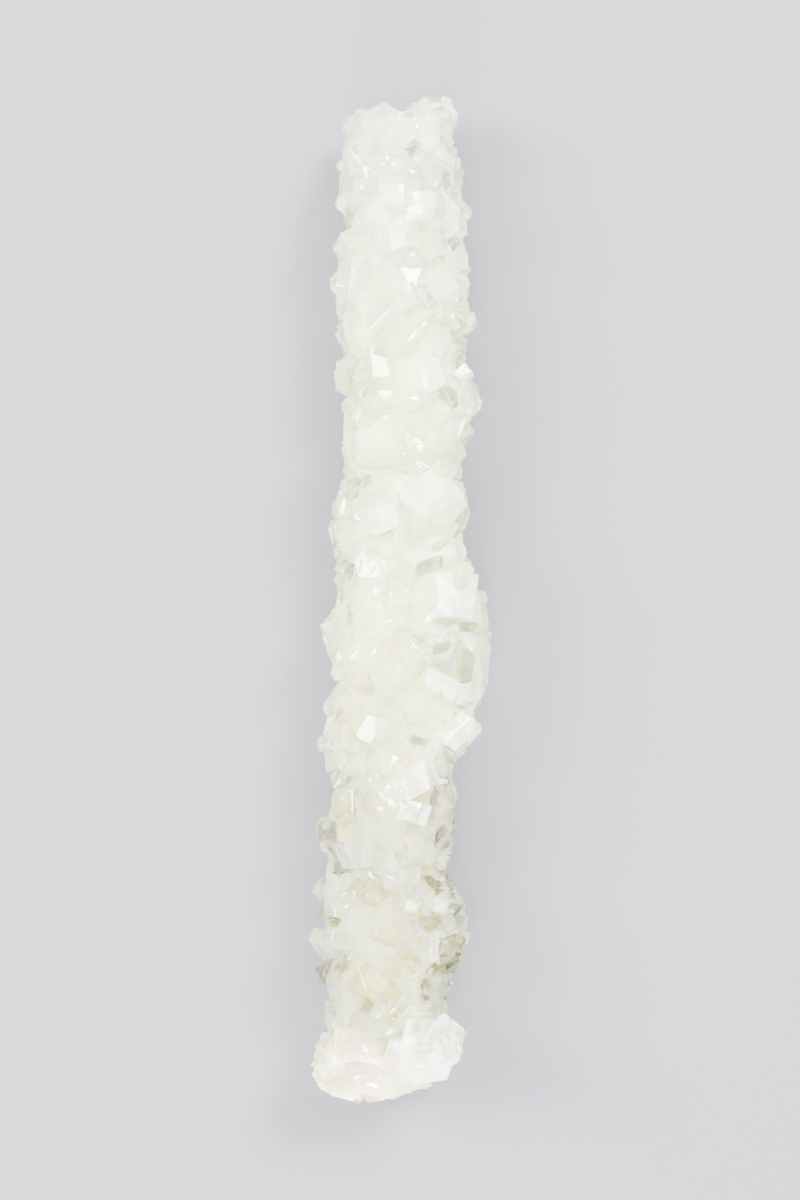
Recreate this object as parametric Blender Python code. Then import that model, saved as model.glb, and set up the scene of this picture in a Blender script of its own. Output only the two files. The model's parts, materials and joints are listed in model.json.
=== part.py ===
"""A rock candy stick: a rough rod of intergrown sugar crystals, one solid.

Metres, +Z up. The stick lies along Y on small flats of its underside, its grown end towards +Y and its
broken, glassy end towards -Y. The origin is the middle of its footprint.
"""

import math
import random

import bmesh
import bpy
import numpy as np
from mathutils import Matrix, Vector

# Driving dimensions
LENGTH = 0.160  # end to end
REST_DEPTH = 0.0106  # from the stick's axis down to the surface it lies on
SEED = 11
MM = 0.001

# The dense middle, by stations along the stick: distance from the broken end, then how far the dense part
# reaches to -X and to +X of the axis, and its half thickness.
CORE_STATIONS = (
    (0.0035, 0.0105, 0.0050, 0.0065),
    (0.0080, 0.0115, 0.0080, 0.0083),
    (0.0160, 0.0104, 0.0067, 0.0086),
    (0.0270, 0.0108, 0.0080, 0.0092),
    (0.0380, 0.0092, 0.0072, 0.0088),
    (0.0500, 0.0102, 0.0078, 0.0092),
    (0.0620, 0.0100, 0.0102, 0.0096),
    (0.0750, 0.0098, 0.0112, 0.0098),
    (0.0900, 0.0090, 0.0100, 0.0094),
    (0.1040, 0.0073, 0.0098, 0.0088),
    (0.1200, 0.0083, 0.0100, 0.0090),
    (0.1360, 0.0086, 0.0098, 0.0090),
    (0.1480, 0.0083, 0.0084, 0.0086),
    (0.1560, 0.0062, 0.0078, 0.0068),
)
CORE_SIDES = 12

# Crystals that cover the rod
FIRST_RING = 0.009  # from the broken end
LAST_RING = 0.003  # from the grown end
RING_SPACING = 0.0082
CRYSTALS_PER_RING = 8
RING_SCATTER = 0.45  # share of the spacing that a crystal may be off its ring
TURN_SCATTER = 0.30  # share of the angle between neighbours
CRYSTAL_SLOPE = (0.10, 0.36)  # share of the length that slopes to the end
CRYSTAL_LENGTH = (0.0070, 0.0115)
CRYSTAL_WIDTH = (0.55, 0.85)  # share of the length
CRYSTAL_THICKNESS = (0.42, 0.62)  # share of the length
CRYSTAL_STANDS_OUT = (0.0009, 0.0032)  # above the dense middle
CRYSTAL_TILT = math.radians(68)  # most lean away from straight out
MONOCLINIC_LEAN = math.radians(13)  # a sucrose crystal's side faces lean by this much

# Crystals that make the outline. Each has its tip (X, distance from the broken end, height above the axis),
# the way it points (X, Y, Z), its length, width and thickness, its turn about its own length in degrees, and
# how much of its length slopes to the tip.
OUTLINE_CRYSTALS = (
    # -X side, from the broken end up
    ((-0.0145, 0.0060, 0.0010), (-1.0, -0.15, 0.10), 0.0130, 0.0100, 0.0080, 70, 0.20),
    ((-0.0129, 0.0205, 0.0000), (-1.0, 0.10, 0.05), 0.0110, 0.0085, 0.0070, 80, 0.12),
    ((-0.0142, 0.0266, 0.0015), (-1.0, 0.05, 0.20), 0.0120, 0.0066, 0.0060, 15, 0.45),
    ((-0.0138, 0.0338, -0.0010), (-1.0, 0.00, -0.15), 0.0120, 0.0075, 0.0065, 75, 0.25),
    ((-0.0142, 0.0434, 0.0010), (-1.0, 0.25, 0.10), 0.0130, 0.0090, 0.0085, 20, 0.48),
    ((-0.0126, 0.0570, 0.0020), (-1.0, -0.10, 0.15), 0.0120, 0.0105, 0.0085, 85, 0.22),
    ((-0.0116, 0.0640, -0.0015), (-1.0, 0.20, -0.10), 0.0110, 0.0080, 0.0070, 40, 0.30),
    ((-0.0124, 0.0757, 0.0005), (-1.0, 0.15, 0.05), 0.0120, 0.0090, 0.0080, 10, 0.45),
    ((-0.0112, 0.0921, 0.0010), (-1.0, 0.05, 0.15), 0.0110, 0.0110, 0.0080, 85, 0.30),
    ((-0.0101, 0.1154, 0.0005), (-1.0, -0.20, 0.10), 0.0110, 0.0085, 0.0075, 30, 0.30),
    ((-0.0106, 0.1303, 0.0010), (-1.0, 0.10, 0.05), 0.0110, 0.0100, 0.0075, 80, 0.25),
    ((-0.0098, 0.1420, -0.0005), (-1.0, -0.05, -0.10), 0.0100, 0.0085, 0.0070, 60, 0.20),
    # +X side, from the broken end up
    ((0.0114, 0.0119, 0.0015), (1.0, 0.18, 0.15), 0.0150, 0.0105, 0.0090, 62, 0.10),
    ((0.0088, 0.0205, 0.0000), (1.0, -0.10, 0.05), 0.0100, 0.0070, 0.0065, 80, 0.15),
    ((0.0118, 0.0266, 0.0015), (1.0, -0.10, 0.20), 0.0130, 0.0095, 0.0080, 75, 0.35),
    ((0.0101, 0.0336, -0.0010), (1.0, 0.30, -0.10), 0.0105, 0.0060, 0.0065, 40, 0.25),
    ((0.0094, 0.0434, 0.0005), (1.0, -0.20, 0.05), 0.0105, 0.0070, 0.0065, 15, 0.35),
    ((0.0098, 0.0490, 0.0010), (1.0, 0.15, 0.15), 0.0095, 0.0055, 0.0060, 30, 0.30),
    ((0.0132, 0.0580, 0.0005), (1.0, -0.35, 0.10), 0.0130, 0.0080, 0.0075, 75, 0.30),
    ((0.0146, 0.0700, 0.0010), (1.0, -0.06, 0.12), 0.0150, 0.0130, 0.0100, 85, 0.08),
    ((0.0145, 0.0800, -0.0005), (1.0, 0.12, -0.05), 0.0140, 0.0080, 0.0085, 80, 0.14),
    ((0.0113, 0.0950, 0.0005), (1.0, -0.12, 0.10), 0.0105, 0.0085, 0.0075, 60, 0.25),
    ((0.0136, 0.1115, 0.0010), (1.0, 0.15, 0.10), 0.0130, 0.0085, 0.0080, 30, 0.40),
    ((0.0125, 0.1240, 0.0000), (1.0, 0.10, 0.00), 0.0120, 0.0080, 0.0075, 25, 0.38),
    ((0.0119, 0.1325, 0.0010), (1.0, -0.20, 0.15), 0.0115, 0.0070, 0.0070, 50, 0.28),
    ((0.0121, 0.1417, -0.0005), (1.0, 0.10, -0.05), 0.0115, 0.0075, 0.0070, 70, 0.25),
    ((0.0106, 0.1493, 0.0010), (1.0, 0.05, 0.10), 0.0100, 0.0060, 0.0060, 80, 0.15),
    # Grown end
    ((0.0102, 0.1578, 0.0008), (0.80, 0.75, 0.10), 0.0110, 0.0070, 0.0065, 70, 0.20),
    ((0.0068, 0.1600, 0.0015), (0.20, 1.00, 0.10), 0.0110, 0.0065, 0.0065, 35, 0.25),
    ((-0.0040, 0.1596, 0.0005), (-0.10, 1.00, 0.05), 0.0105, 0.0085, 0.0075, 20, 0.22),
    ((0.0016, 0.1580, -0.0020), (0.05, 1.00, -0.25), 0.0100, 0.0070, 0.0070, 60, 0.20),
    ((-0.0086, 0.1545, -0.0005), (-0.80, 0.65, 0.00), 0.0100, 0.0075, 0.0065, 75, 0.20),
    ((0.0005, 0.1562, 0.0052), (0.00, 0.80, 0.60), 0.0100, 0.0075, 0.0070, 10, 0.22),
    ((0.0030, 0.1555, -0.0062), (0.10, 0.70, -0.70), 0.0095, 0.0075, 0.0070, 40, 0.22),
    # Broken end: broad glassy blocks side by side
    ((-0.0100, 0.0022, 0.0000), (-0.55, -1.0, 0.05), 0.0120, 0.0095, 0.0090, 80, 0.12),
    ((-0.0045, 0.0000, 0.0012), (-0.08, -1.0, 0.10), 0.0120, 0.0100, 0.0095, 85, 0.10),
    ((0.0020, 0.0020, -0.0010), (0.22, -1.0, -0.10), 0.0120, 0.0095, 0.0090, 75, 0.12),
    ((0.0078, 0.0056, 0.0010), (0.60, -1.0, 0.12), 0.0125, 0.0090, 0.0085, 70, 0.12),
    ((-0.0030, 0.0040, -0.0060), (0.00, -0.75, -0.70), 0.0110, 0.0095, 0.0080, 20, 0.15),
    ((-0.0040, 0.0045, 0.0070), (-0.05, -0.60, 0.75), 0.0110, 0.0100, 0.0085, 40, 0.15),
)

# Blocky crystals underneath that the stick lies on: X, distance from the broken end, length, width
REST_CRYSTALS = (
    (-0.0050, 0.0140, 0.0100, 0.0080),
    (0.0035, 0.0260, 0.0095, 0.0075),
    (-0.0045, 0.0480, 0.0090, 0.0080),
    (0.0050, 0.0660, 0.0105, 0.0085),
    (-0.0008, 0.0820, 0.0110, 0.0125),
    (0.0045, 0.1060, 0.0095, 0.0080),
    (-0.0040, 0.1260, 0.0095, 0.0080),
    (0.0045, 0.1430, 0.0090, 0.0075),
)
REST_LEANS = (-6.0, 7.0)  # degrees, in turn
REST_TURN = 24.0  # degrees more from each block to the next
REST_SLOPE = 0.10
REST_OVERLAP = 0.0008  # how far a block pokes out below before the cut

# Outline seen from above, anticlockwise from the grown end's -X corner: X and distance from the broken end, mm
OUTLINE = (
    (-6.0, 158.8), (-8.7, 155.9), (-8.4, 153.4), (-9.6, 148.6), (-8.7, 146.4), (-9.9, 142.5), (-8.9, 139.5),
    (-10.2, 136.2), (-9.4, 133.6), (-10.6, 130.3), (-9.3, 125.0), (-9.9, 122.6), (-8.8, 119.9), (-10.3, 115.4),
    (-8.9, 110.6), (-7.8, 107.3), (-8.9, 104.4), (-8.2, 102.1), (-9.8, 96.9), (-11.3, 92.1), (-9.8, 86.5),
    (-10.2, 83.2), (-9.2, 80.1), (-12.5, 75.7), (-10.5, 70.1), (-10.1, 65.7), (-11.8, 63.7), (-12.7, 57.2),
    (-11.5, 54.4), (-10.8, 49.8), (-14.2, 43.4), (-10.1, 38.6), (-10.8, 37.4), (-13.9, 33.8), (-11.3, 29.8),
    (-14.3, 26.6), (-12.5, 23.7), (-12.9, 20.3), (-11.3, 17.3), (-12.0, 14.6), (-11.5, 12.1), (-14.0, 8.9),
    (-14.5, 5.7), (-12.9, 2.9), (-8.8, 1.3), (-6.4, 0.2), (-2.0, 0.4), (3.2, 2.7), (5.2, 3.3), (6.8, 4.7),
    (10.0, 7.3), (11.5, 11.9), (8.8, 14.1), (7.4, 15.7), (8.8, 18.9), (8.4, 21.4), (10.2, 23.5), (12.0, 26.2),
    (11.2, 29.8), (10.2, 33.4), (8.8, 35.4), (7.9, 37.8), (9.5, 43.4), (8.5, 46.4), (9.9, 49.0), (8.3, 51.4),
    (9.6, 54.4), (13.4, 59.3), (12.9, 62.6), (14.5, 67.3), (14.7, 74.5), (14.4, 81.7), (12.1, 84.9),
    (10.6, 88.9), (11.5, 93.8), (10.3, 101.3), (12.0, 105.7), (13.7, 111.0), (13.0, 114.0), (10.5, 119.2),
    (12.6, 124.0), (11.2, 128.2), (12.0, 132.3), (10.5, 136.5), (12.2, 141.7), (10.1, 144.4), (10.8, 149.3),
    (8.6, 152.7), (10.3, 157.0), (7.6, 160.6), (5.0, 158.7), (2.9, 159.8), (0.3, 157.2), (-2.2, 159.2),
    (-4.0, 157.8),
)
OUTLINE_SLACK = 0.3 * MM  # how far a corner may stand past the outline

# A small pointed crystal stands at every corner that sticks out of the outline, away from the broken end
TIPS_FROM = 0.014
TIP_WIDTH = (0.0024, 0.0055)
TIP_LENGTH = (1.7, 2.3)  # times the width
TIP_HEIGHT = (-0.0025, 0.0030)  # from the axis

# The hollow where the broken end split like glass: centre and half sizes
SCOOP = ((-0.0050, -0.0010, 0.0110), (0.0112, 0.0100, 0.0080))

# Crystals that stand out on the upper side: tip, way it points, length, width, thickness, turn in degrees
SHOWN_CRYSTALS = (
    ((0.0085, 0.0960, 0.0092), (0.55, 0.15, 0.80), 0.0130, 0.0095, 0.0080, 20),
    ((0.0128, 0.0842, 0.0062), (0.80, 0.05, 0.55), 0.0130, 0.0090, 0.0070, 70),
    ((0.0060, 0.0855, 0.0098), (0.30, -0.10, 0.90), 0.0110, 0.0075, 0.0065, 50),
    ((0.0062, 0.0658, 0.0096), (0.35, -0.30, 0.85), 0.0110, 0.0060, 0.0055, 15),
    ((0.0100, 0.0560, 0.0070), (0.70, -0.40, 0.60), 0.0110, 0.0070, 0.0060, 60),
    ((0.0030, 0.0470, 0.0105), (0.18, 0.15, 0.95), 0.0100, 0.0060, 0.0045, 25),
    ((0.0075, 0.0340, 0.0080), (0.45, 0.25, 0.80), 0.0120, 0.0080, 0.0060, 40),
    ((0.0108, 0.0270, 0.0060), (0.75, -0.20, 0.55), 0.0120, 0.0085, 0.0055, 85),
    ((-0.0020, 0.0905, 0.0115), (-0.15, -0.30, 0.90), 0.0090, 0.0048, 0.0040, 35),
    ((-0.0065, 0.0700, 0.0090), (-0.45, 0.20, 0.80), 0.0120, 0.0100, 0.0080, 75),
    ((-0.0050, 0.0330, 0.0096), (-0.30, 0.10, 0.90), 0.0130, 0.0110, 0.0080, 20),
    ((0.0015, 0.1350, 0.0112), (0.10, 0.20, 0.95), 0.0095, 0.0050, 0.0042, 30),
    ((-0.0005, 0.1445, 0.0108), (-0.10, 0.30, 0.95), 0.0090, 0.0055, 0.0040, 60),
    ((-0.0045, 0.1220, 0.0100), (-0.30, -0.15, 0.90), 0.0120, 0.0095, 0.0075, 15),
    ((0.0070, 0.1160, 0.0092), (0.50, 0.25, 0.80), 0.0115, 0.0080, 0.0060, 80),
    ((-0.0035, 0.1060, 0.0104), (-0.20, 0.25, 0.95), 0.0120, 0.0090, 0.0080, 50),
)

# Clear crystals beside the hollow, in the same order
END_CRYSTALS = (
    ((0.0112, 0.0122, 0.0050), (0.85, 0.45, 0.35), 0.0110, 0.0075, 0.0070, 35),
    ((0.0095, 0.0068, 0.0030), (0.75, -0.50, 0.35), 0.0105, 0.0062, 0.0065, 10),
    ((0.0062, 0.0125, 0.0098), (0.15, 0.35, 0.90), 0.0090, 0.0066, 0.0058, 50),
    ((0.0050, 0.0070, 0.0078), (0.30, -0.45, 0.80), 0.0085, 0.0056, 0.0052, 80),
)
SHOWN_SLOPE = 0.16

CUT_MARGIN = 1.5  # cutters are this many times as long as the stick


def clear_scene():
    for thing in list(bpy.data.objects):
        bpy.data.objects.remove(thing, do_unlink=True)


def make_object(name, mesh):
    made = bpy.data.objects.new(name, mesh)
    bpy.context.scene.collection.objects.link(made)
    return made


def make_helper(name, mesh):
    made = make_object(name, mesh)
    made.hide_render = True
    made.display_type = "WIRE"
    return made


def hull_mesh(name, points):
    """The closed convex mesh round the points."""
    built = bmesh.new()
    for point in points:
        built.verts.new(point)
    hull = bmesh.ops.convex_hull(built, input=built.verts)
    inside = {v for v in hull["geom_interior"] if isinstance(v, bmesh.types.BMVert)}
    bmesh.ops.delete(built, geom=list(inside), context="VERTS")
    bmesh.ops.dissolve_limit(built, angle_limit=math.radians(0.5), verts=built.verts, edges=built.edges)
    bmesh.ops.recalc_face_normals(built, faces=built.faces)
    mesh = bpy.data.meshes.new(name)
    built.to_mesh(mesh)
    built.free()
    return mesh


def crystal_points(length, width, thickness, slope):
    """Corners of one sucrose crystal along Z: a leaning block whose two ends slope to a short ridge."""
    lean = thickness * math.tan(MONOCLINIC_LEAN) / 2
    points = []
    for end in (-1, 1):
        for side in (-1, 1):
            for face in (-1, 1):
                shoulder = end * length * (0.5 - slope)
                points.append(Vector((side * width / 2 + face * lean, face * thickness / 2, shoulder)))
            points.append(Vector((side * width * (0.5 - slope * 0.7), 0.0, end * length / 2)))
    return points


def turned(points, direction, spin):
    """The points with their Z turned to the direction, after a spin about Z."""
    turn = direction.to_track_quat("Z", "Y").to_matrix() @ Matrix.Rotation(spin, 3, "Z")
    return [turn @ point for point in points]


def core_at(distance):
    """Reach to -X, reach to +X and half thickness of the dense middle, this far from the broken end."""
    before = CORE_STATIONS[0]
    for after in CORE_STATIONS[1:]:
        if distance <= after[0]:
            share = max(0.0, (distance - before[0]) / (after[0] - before[0]))
            return [a + (b - a) * share for a, b in zip(before[1:], after[1:])]
        before = after
    return list(before[1:])


def core_point(distance, angle, grow=0.0):
    """A point on the dense middle's skin, grown outwards, and the way out from there."""
    left, right, half_thickness = core_at(distance)
    centre = (right - left) / 2
    half_width = (right + left) / 2
    out = Vector((math.cos(angle) / half_width, 0.0, math.sin(angle) / half_thickness)).normalized()
    skin = Vector((centre + half_width * math.cos(angle), distance, half_thickness * math.sin(angle)))
    return skin + out * grow, out


def make_core():
    """The dense middle, lofted through its stations."""
    built = bmesh.new()
    rings = []
    for station in CORE_STATIONS:
        angles = [2 * math.pi * side / CORE_SIDES for side in range(CORE_SIDES)]
        rings.append([built.verts.new(core_point(station[0], angle)[0]) for angle in angles])
    for lower, upper in zip(rings, rings[1:]):
        for side in range(CORE_SIDES):
            after = (side + 1) % CORE_SIDES
            built.faces.new((lower[side], lower[after], upper[after], upper[side]))
    built.faces.new(rings[0])
    built.faces.new(rings[-1])
    bmesh.ops.recalc_face_normals(built, faces=built.faces)
    mesh = bpy.data.meshes.new("rock_candy")
    built.to_mesh(mesh)
    built.free()
    return make_object("rock_candy", mesh)


def ring_crystals(chance):
    """Point sets of the crystals that cover the rod, ring after ring."""
    rings = round((LENGTH - FIRST_RING - LAST_RING) / RING_SPACING)
    for ring in range(rings):
        for place in range(CRYSTALS_PER_RING):
            distance = FIRST_RING + (ring + chance.uniform(-RING_SCATTER, RING_SCATTER)) * RING_SPACING
            off = chance.uniform(-TURN_SCATTER, TURN_SCATTER)
            turn = (place + 0.5 * (ring % 2) + off) / CRYSTALS_PER_RING
            length = chance.uniform(*CRYSTAL_LENGTH)
            width = length * chance.uniform(*CRYSTAL_WIDTH)
            thickness = length * chance.uniform(*CRYSTAL_THICKNESS)
            slope = chance.uniform(*CRYSTAL_SLOPE)
            tilt = chance.uniform(0.0, CRYSTAL_TILT)
            around = chance.uniform(0.0, 2 * math.pi)
            spin = chance.uniform(0.0, 2 * math.pi)
            stands_out = chance.uniform(*CRYSTAL_STANDS_OUT)
            skin, out = core_point(distance, 2 * math.pi * turn)
            across = out.cross(Vector((0.0, 1.0, 0.0)))
            aside = (Matrix.Rotation(around, 3, out) @ across).normalized()
            direction = (Matrix.Rotation(tilt, 3, aside) @ out).normalized()
            points = turned(crystal_points(length, width, thickness, slope), direction, spin)
            reach = max(point.dot(out) for point in points)
            shift = skin + out * (stands_out - reach)
            yield [point + shift for point in points]


def outline_crystals():
    """Point sets of the crystals that make the outline."""
    for tip, direction, length, width, thickness, spin, slope in OUTLINE_CRYSTALS:
        way = Vector(direction).normalized()
        points = turned(crystal_points(length, width, thickness, slope), way, math.radians(spin))
        shift = Vector(tip) - way * length / 2
        yield [point + shift for point in points]


def placed_crystals(rows):
    """Point sets of crystals that stand where the rows say."""
    for tip, direction, length, width, thickness, spin in rows:
        way = Vector(direction).normalized()
        points = turned(crystal_points(length, width, thickness, SHOWN_SLOPE), way, math.radians(spin))
        shift = Vector(tip) - way * length / 2
        yield [point + shift for point in points]


def outline_tips(chance):
    """Point sets of the small pointed crystals at the corners that stick out of the outline."""
    corners = [Vector((x * MM, distance * MM)) for x, distance in OUTLINE]
    for number, corner in enumerate(corners):
        before = corners[number - 1] - corner
        after = corners[(number + 1) % len(corners)] - corner
        if before.cross(after) > 0 or corner.y < TIPS_FROM:
            continue
        out = -(before.normalized() + after.normalized()).normalized()
        smallest, largest = TIP_WIDTH
        width = min(max(0.8 * min(before.length, after.length), smallest), largest)
        length = width * chance.uniform(*TIP_LENGTH)
        way = Vector((out.x, out.y, chance.uniform(-0.35, 0.45))).normalized()
        points = turned(crystal_points(length, width, width * 0.75, 0.4), way, chance.uniform(0, math.pi))
        shift = Vector((corner.x, corner.y, chance.uniform(*TIP_HEIGHT))) - way * length / 2
        yield [point + shift for point in points]


def held_in(points):
    """The crystal moved sideways until hardly a corner of it is past the outline."""
    start = np.array(OUTLINE) * MM
    side = np.roll(start, -1, axis=0) - start
    rise = np.where(side[:, 1] == 0, 1, side[:, 1])
    for _ in range(3):
        flat = np.array([point[:2] for point in points])[:, None, :]
        share = ((flat - start) * side).sum(axis=2) / (side * side).sum(axis=1)
        nearest = start + np.clip(share, 0, 1)[:, :, None] * side
        gaps = np.linalg.norm(flat - nearest, axis=2)
        crossing = (start[:, 1] > flat[..., 1]) != (start[:, 1] + side[:, 1] > flat[..., 1])
        right = flat[..., 0] < start[:, 0] + side[:, 0] * (flat[..., 1] - start[:, 1]) / rise
        outside = (crossing & right).sum(axis=1) % 2 == 0
        past = np.where(outside, gaps.min(axis=1), 0)
        worst = int(past.argmax())
        if past[worst] < OUTLINE_SLACK:
            break
        move = nearest[worst, gaps[worst].argmin()] - flat[worst, 0]
        points = [point + Vector((move[0], move[1], 0.0)) for point in points]
    return points


def rest_crystals():
    """Point sets of the blocks underneath. Each pokes out below the surface that the stick lies on."""
    for number, (x, distance, length, width) in enumerate(REST_CRYSTALS):
        lean = math.radians(REST_LEANS[number % 2])
        way = Vector((math.sin(lean), math.sin(-lean), -math.cos(lean))).normalized()
        block = crystal_points(length, width, width * 0.9, REST_SLOPE)
        points = turned(block, way, math.radians(REST_TURN * number))
        shift = Vector((x, distance, length * 0.5 - REST_DEPTH - REST_OVERLAP))
        yield [point + shift for point in points]


def rest_cutter():
    """A block that takes away everything below the surface that the stick lies on."""
    bpy.ops.mesh.primitive_cube_add(size=1.0)
    cutter = bpy.context.object
    cutter.name = "rest_cutter"
    depth = 10 * MM
    cutter.scale = (LENGTH / 2, LENGTH * CUT_MARGIN, depth)
    cutter.location = (0.0, LENGTH / 2, -REST_DEPTH - depth / 2)
    cutter.hide_render = True
    cutter.display_type = "WIRE"
    return cutter


def split_cutter():
    """The rounded hollow that a split leaves in the broken end."""
    centre, half_sizes = SCOOP
    bpy.ops.mesh.primitive_uv_sphere_add(segments=32, ring_count=16, radius=1.0)
    cutter = bpy.context.object
    cutter.name = "split_cutter"
    cutter.scale, cutter.location = half_sizes, centre
    cutter.hide_render = True
    cutter.display_type = "WIRE"
    return cutter


def crystal_collection(name, point_sets):
    """A collection of closed helper crystals, one round each point set."""
    crystals = bpy.data.collections.new(name)
    bpy.context.scene.collection.children.link(crystals)
    for number, points in enumerate(point_sets):
        label = f"{name}_{number:03d}"
        made = make_helper(label, hull_mesh(label, held_in(points)))
        bpy.context.scene.collection.objects.unlink(made)
        crystals.objects.link(made)
    return crystals


def add_boolean(stick, name, operation, operand):
    change = stick.modifiers.new(name, "BOOLEAN")
    change.operation = operation
    change.solver = "EXACT"
    if isinstance(operand, bpy.types.Collection):
        change.operand_type = "COLLECTION"
        change.collection = operand
    else:
        change.object = operand


def fill_pockets(mesh):
    """Removes the skins of sealed pockets between crystals, so that they are solid."""
    built = bmesh.new()
    built.from_mesh(mesh)
    built.faces.ensure_lookup_table()
    left = set(built.faces)
    skins = []
    while left:
        skin = {left.pop()}
        edge_of_skin = list(skin)
        while edge_of_skin:
            face = edge_of_skin.pop()
            for edge in face.edges:
                for other in edge.link_faces:
                    if other in left:
                        left.remove(other)
                        skin.add(other)
                        edge_of_skin.append(other)
        skins.append(skin)
    skins.sort(key=len)
    for skin in skins[:-1]:
        bmesh.ops.delete(built, geom=list(skin), context="FACES")
    loose = [vert for vert in built.verts if not vert.link_faces]
    bmesh.ops.delete(built, geom=loose, context="VERTS")
    built.to_mesh(mesh)
    built.free()


def sugar():
    """Crystallised sugar: milky and translucent, with glossy faces."""
    material = bpy.data.materials.new("crystal_sugar")
    material.use_nodes = True
    surface = material.node_tree.nodes["Principled BSDF"]
    surface.inputs["Base Color"].default_value = (0.80, 0.79, 0.71, 1.0)
    surface.inputs["Roughness"].default_value = 0.18
    surface.inputs["Metallic"].default_value = 0.0
    surface.inputs["IOR"].default_value = 1.54
    return material


def main():
    clear_scene()
    stick = make_core()
    chance = random.Random(SEED)
    first = [*ring_crystals(chance), *outline_crystals(), *outline_tips(chance), *rest_crystals()]
    add_boolean(stick, "grown_together", "UNION", crystal_collection("crystal", first))
    add_boolean(stick, "split_end", "DIFFERENCE", split_cutter())
    last = placed_crystals(END_CRYSTALS + SHOWN_CRYSTALS)
    add_boolean(stick, "grown_last", "UNION", crystal_collection("last_crystal", last))
    add_boolean(stick, "rest_flats", "DIFFERENCE", rest_cutter())
    bpy.context.view_layer.update()

    graph = bpy.context.evaluated_depsgraph_get()
    mesh = bpy.data.meshes.new_from_object(stick.evaluated_get(graph))
    stick.modifiers.clear()
    stick.data = mesh
    fill_pockets(mesh)
    corners = [vertex.co for vertex in mesh.vertices]
    low = Vector(min(corner[axis] for corner in corners) for axis in range(3))
    high = Vector(max(corner[axis] for corner in corners) for axis in range(3))
    mesh.transform(Matrix.Translation((-(low.x + high.x) / 2, -(low.y + high.y) / 2, -low.z)))
    mesh.materials.clear()
    mesh.materials.append(sugar())


main()
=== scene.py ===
import contextlib
import itertools
import json
import math
import random

import bmesh
import bpy
import numpy as np
from bpy.props import FloatProperty, FloatVectorProperty, IntProperty, PointerProperty
from mathutils import Matrix, Vector, noise
from mathutils.bvhtree import BVHTree

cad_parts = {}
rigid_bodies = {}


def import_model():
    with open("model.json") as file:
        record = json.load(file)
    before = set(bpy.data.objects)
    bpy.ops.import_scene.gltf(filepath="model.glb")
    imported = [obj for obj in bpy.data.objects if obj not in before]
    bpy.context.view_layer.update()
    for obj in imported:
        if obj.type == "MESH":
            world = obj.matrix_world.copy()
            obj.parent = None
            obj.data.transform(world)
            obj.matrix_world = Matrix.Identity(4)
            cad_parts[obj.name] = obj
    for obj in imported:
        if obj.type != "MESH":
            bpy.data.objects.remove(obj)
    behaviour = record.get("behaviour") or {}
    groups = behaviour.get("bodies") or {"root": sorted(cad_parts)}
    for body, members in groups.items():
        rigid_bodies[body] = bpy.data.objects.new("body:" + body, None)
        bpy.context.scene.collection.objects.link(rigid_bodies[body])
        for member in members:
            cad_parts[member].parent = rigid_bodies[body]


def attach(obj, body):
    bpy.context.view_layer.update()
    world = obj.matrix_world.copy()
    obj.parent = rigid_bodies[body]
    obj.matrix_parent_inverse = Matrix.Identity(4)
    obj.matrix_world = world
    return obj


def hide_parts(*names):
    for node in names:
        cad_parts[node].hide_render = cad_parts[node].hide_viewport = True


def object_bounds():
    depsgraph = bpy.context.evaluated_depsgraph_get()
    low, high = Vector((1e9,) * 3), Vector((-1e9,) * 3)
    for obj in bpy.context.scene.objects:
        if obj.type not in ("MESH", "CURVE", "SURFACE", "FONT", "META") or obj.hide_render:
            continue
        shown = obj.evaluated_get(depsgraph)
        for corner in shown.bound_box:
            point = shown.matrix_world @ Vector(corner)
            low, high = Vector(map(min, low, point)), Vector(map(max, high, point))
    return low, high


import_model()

bl_info = {
    "name": "Rock Candy Stick",
    "version": (1, 0, 0),
    "blender": (4, 5, 0),
    "location": "3D View > Sidebar > Rock Candy",
    "description": "A stick of intergrown sugar crystals, lying on a pale floor",
    "category": "Object",
}

CAD_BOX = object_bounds()
NODE = "rock_candy"
MM = 0.001

# How the stick grew, in mm and degrees. Distances run from the broken end; X and heights are from the axis.
# Dense middle: distance, reach to -X, reach to +X, half thickness
CORE_STATIONS = (
    (3.5, 10.5, 5, 6.5),
    (8, 11.5, 8, 8.3),
    (16, 10.4, 6.7, 8.6),
    (27, 10.8, 8, 9.2),
    (38, 9.2, 7.2, 8.8),
    (50, 10.2, 7.8, 9.2),
    (62, 10, 10.2, 9.6),
    (75, 9.8, 11.2, 9.8),
    (90, 9, 10, 9.4),
    (104, 7.3, 9.8, 8.8),
    (120, 8.3, 10, 9),
    (136, 8.6, 9.8, 9),
    (148, 8.3, 8.4, 8.6),
    (156, 6.2, 7.8, 6.8),
)

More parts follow.
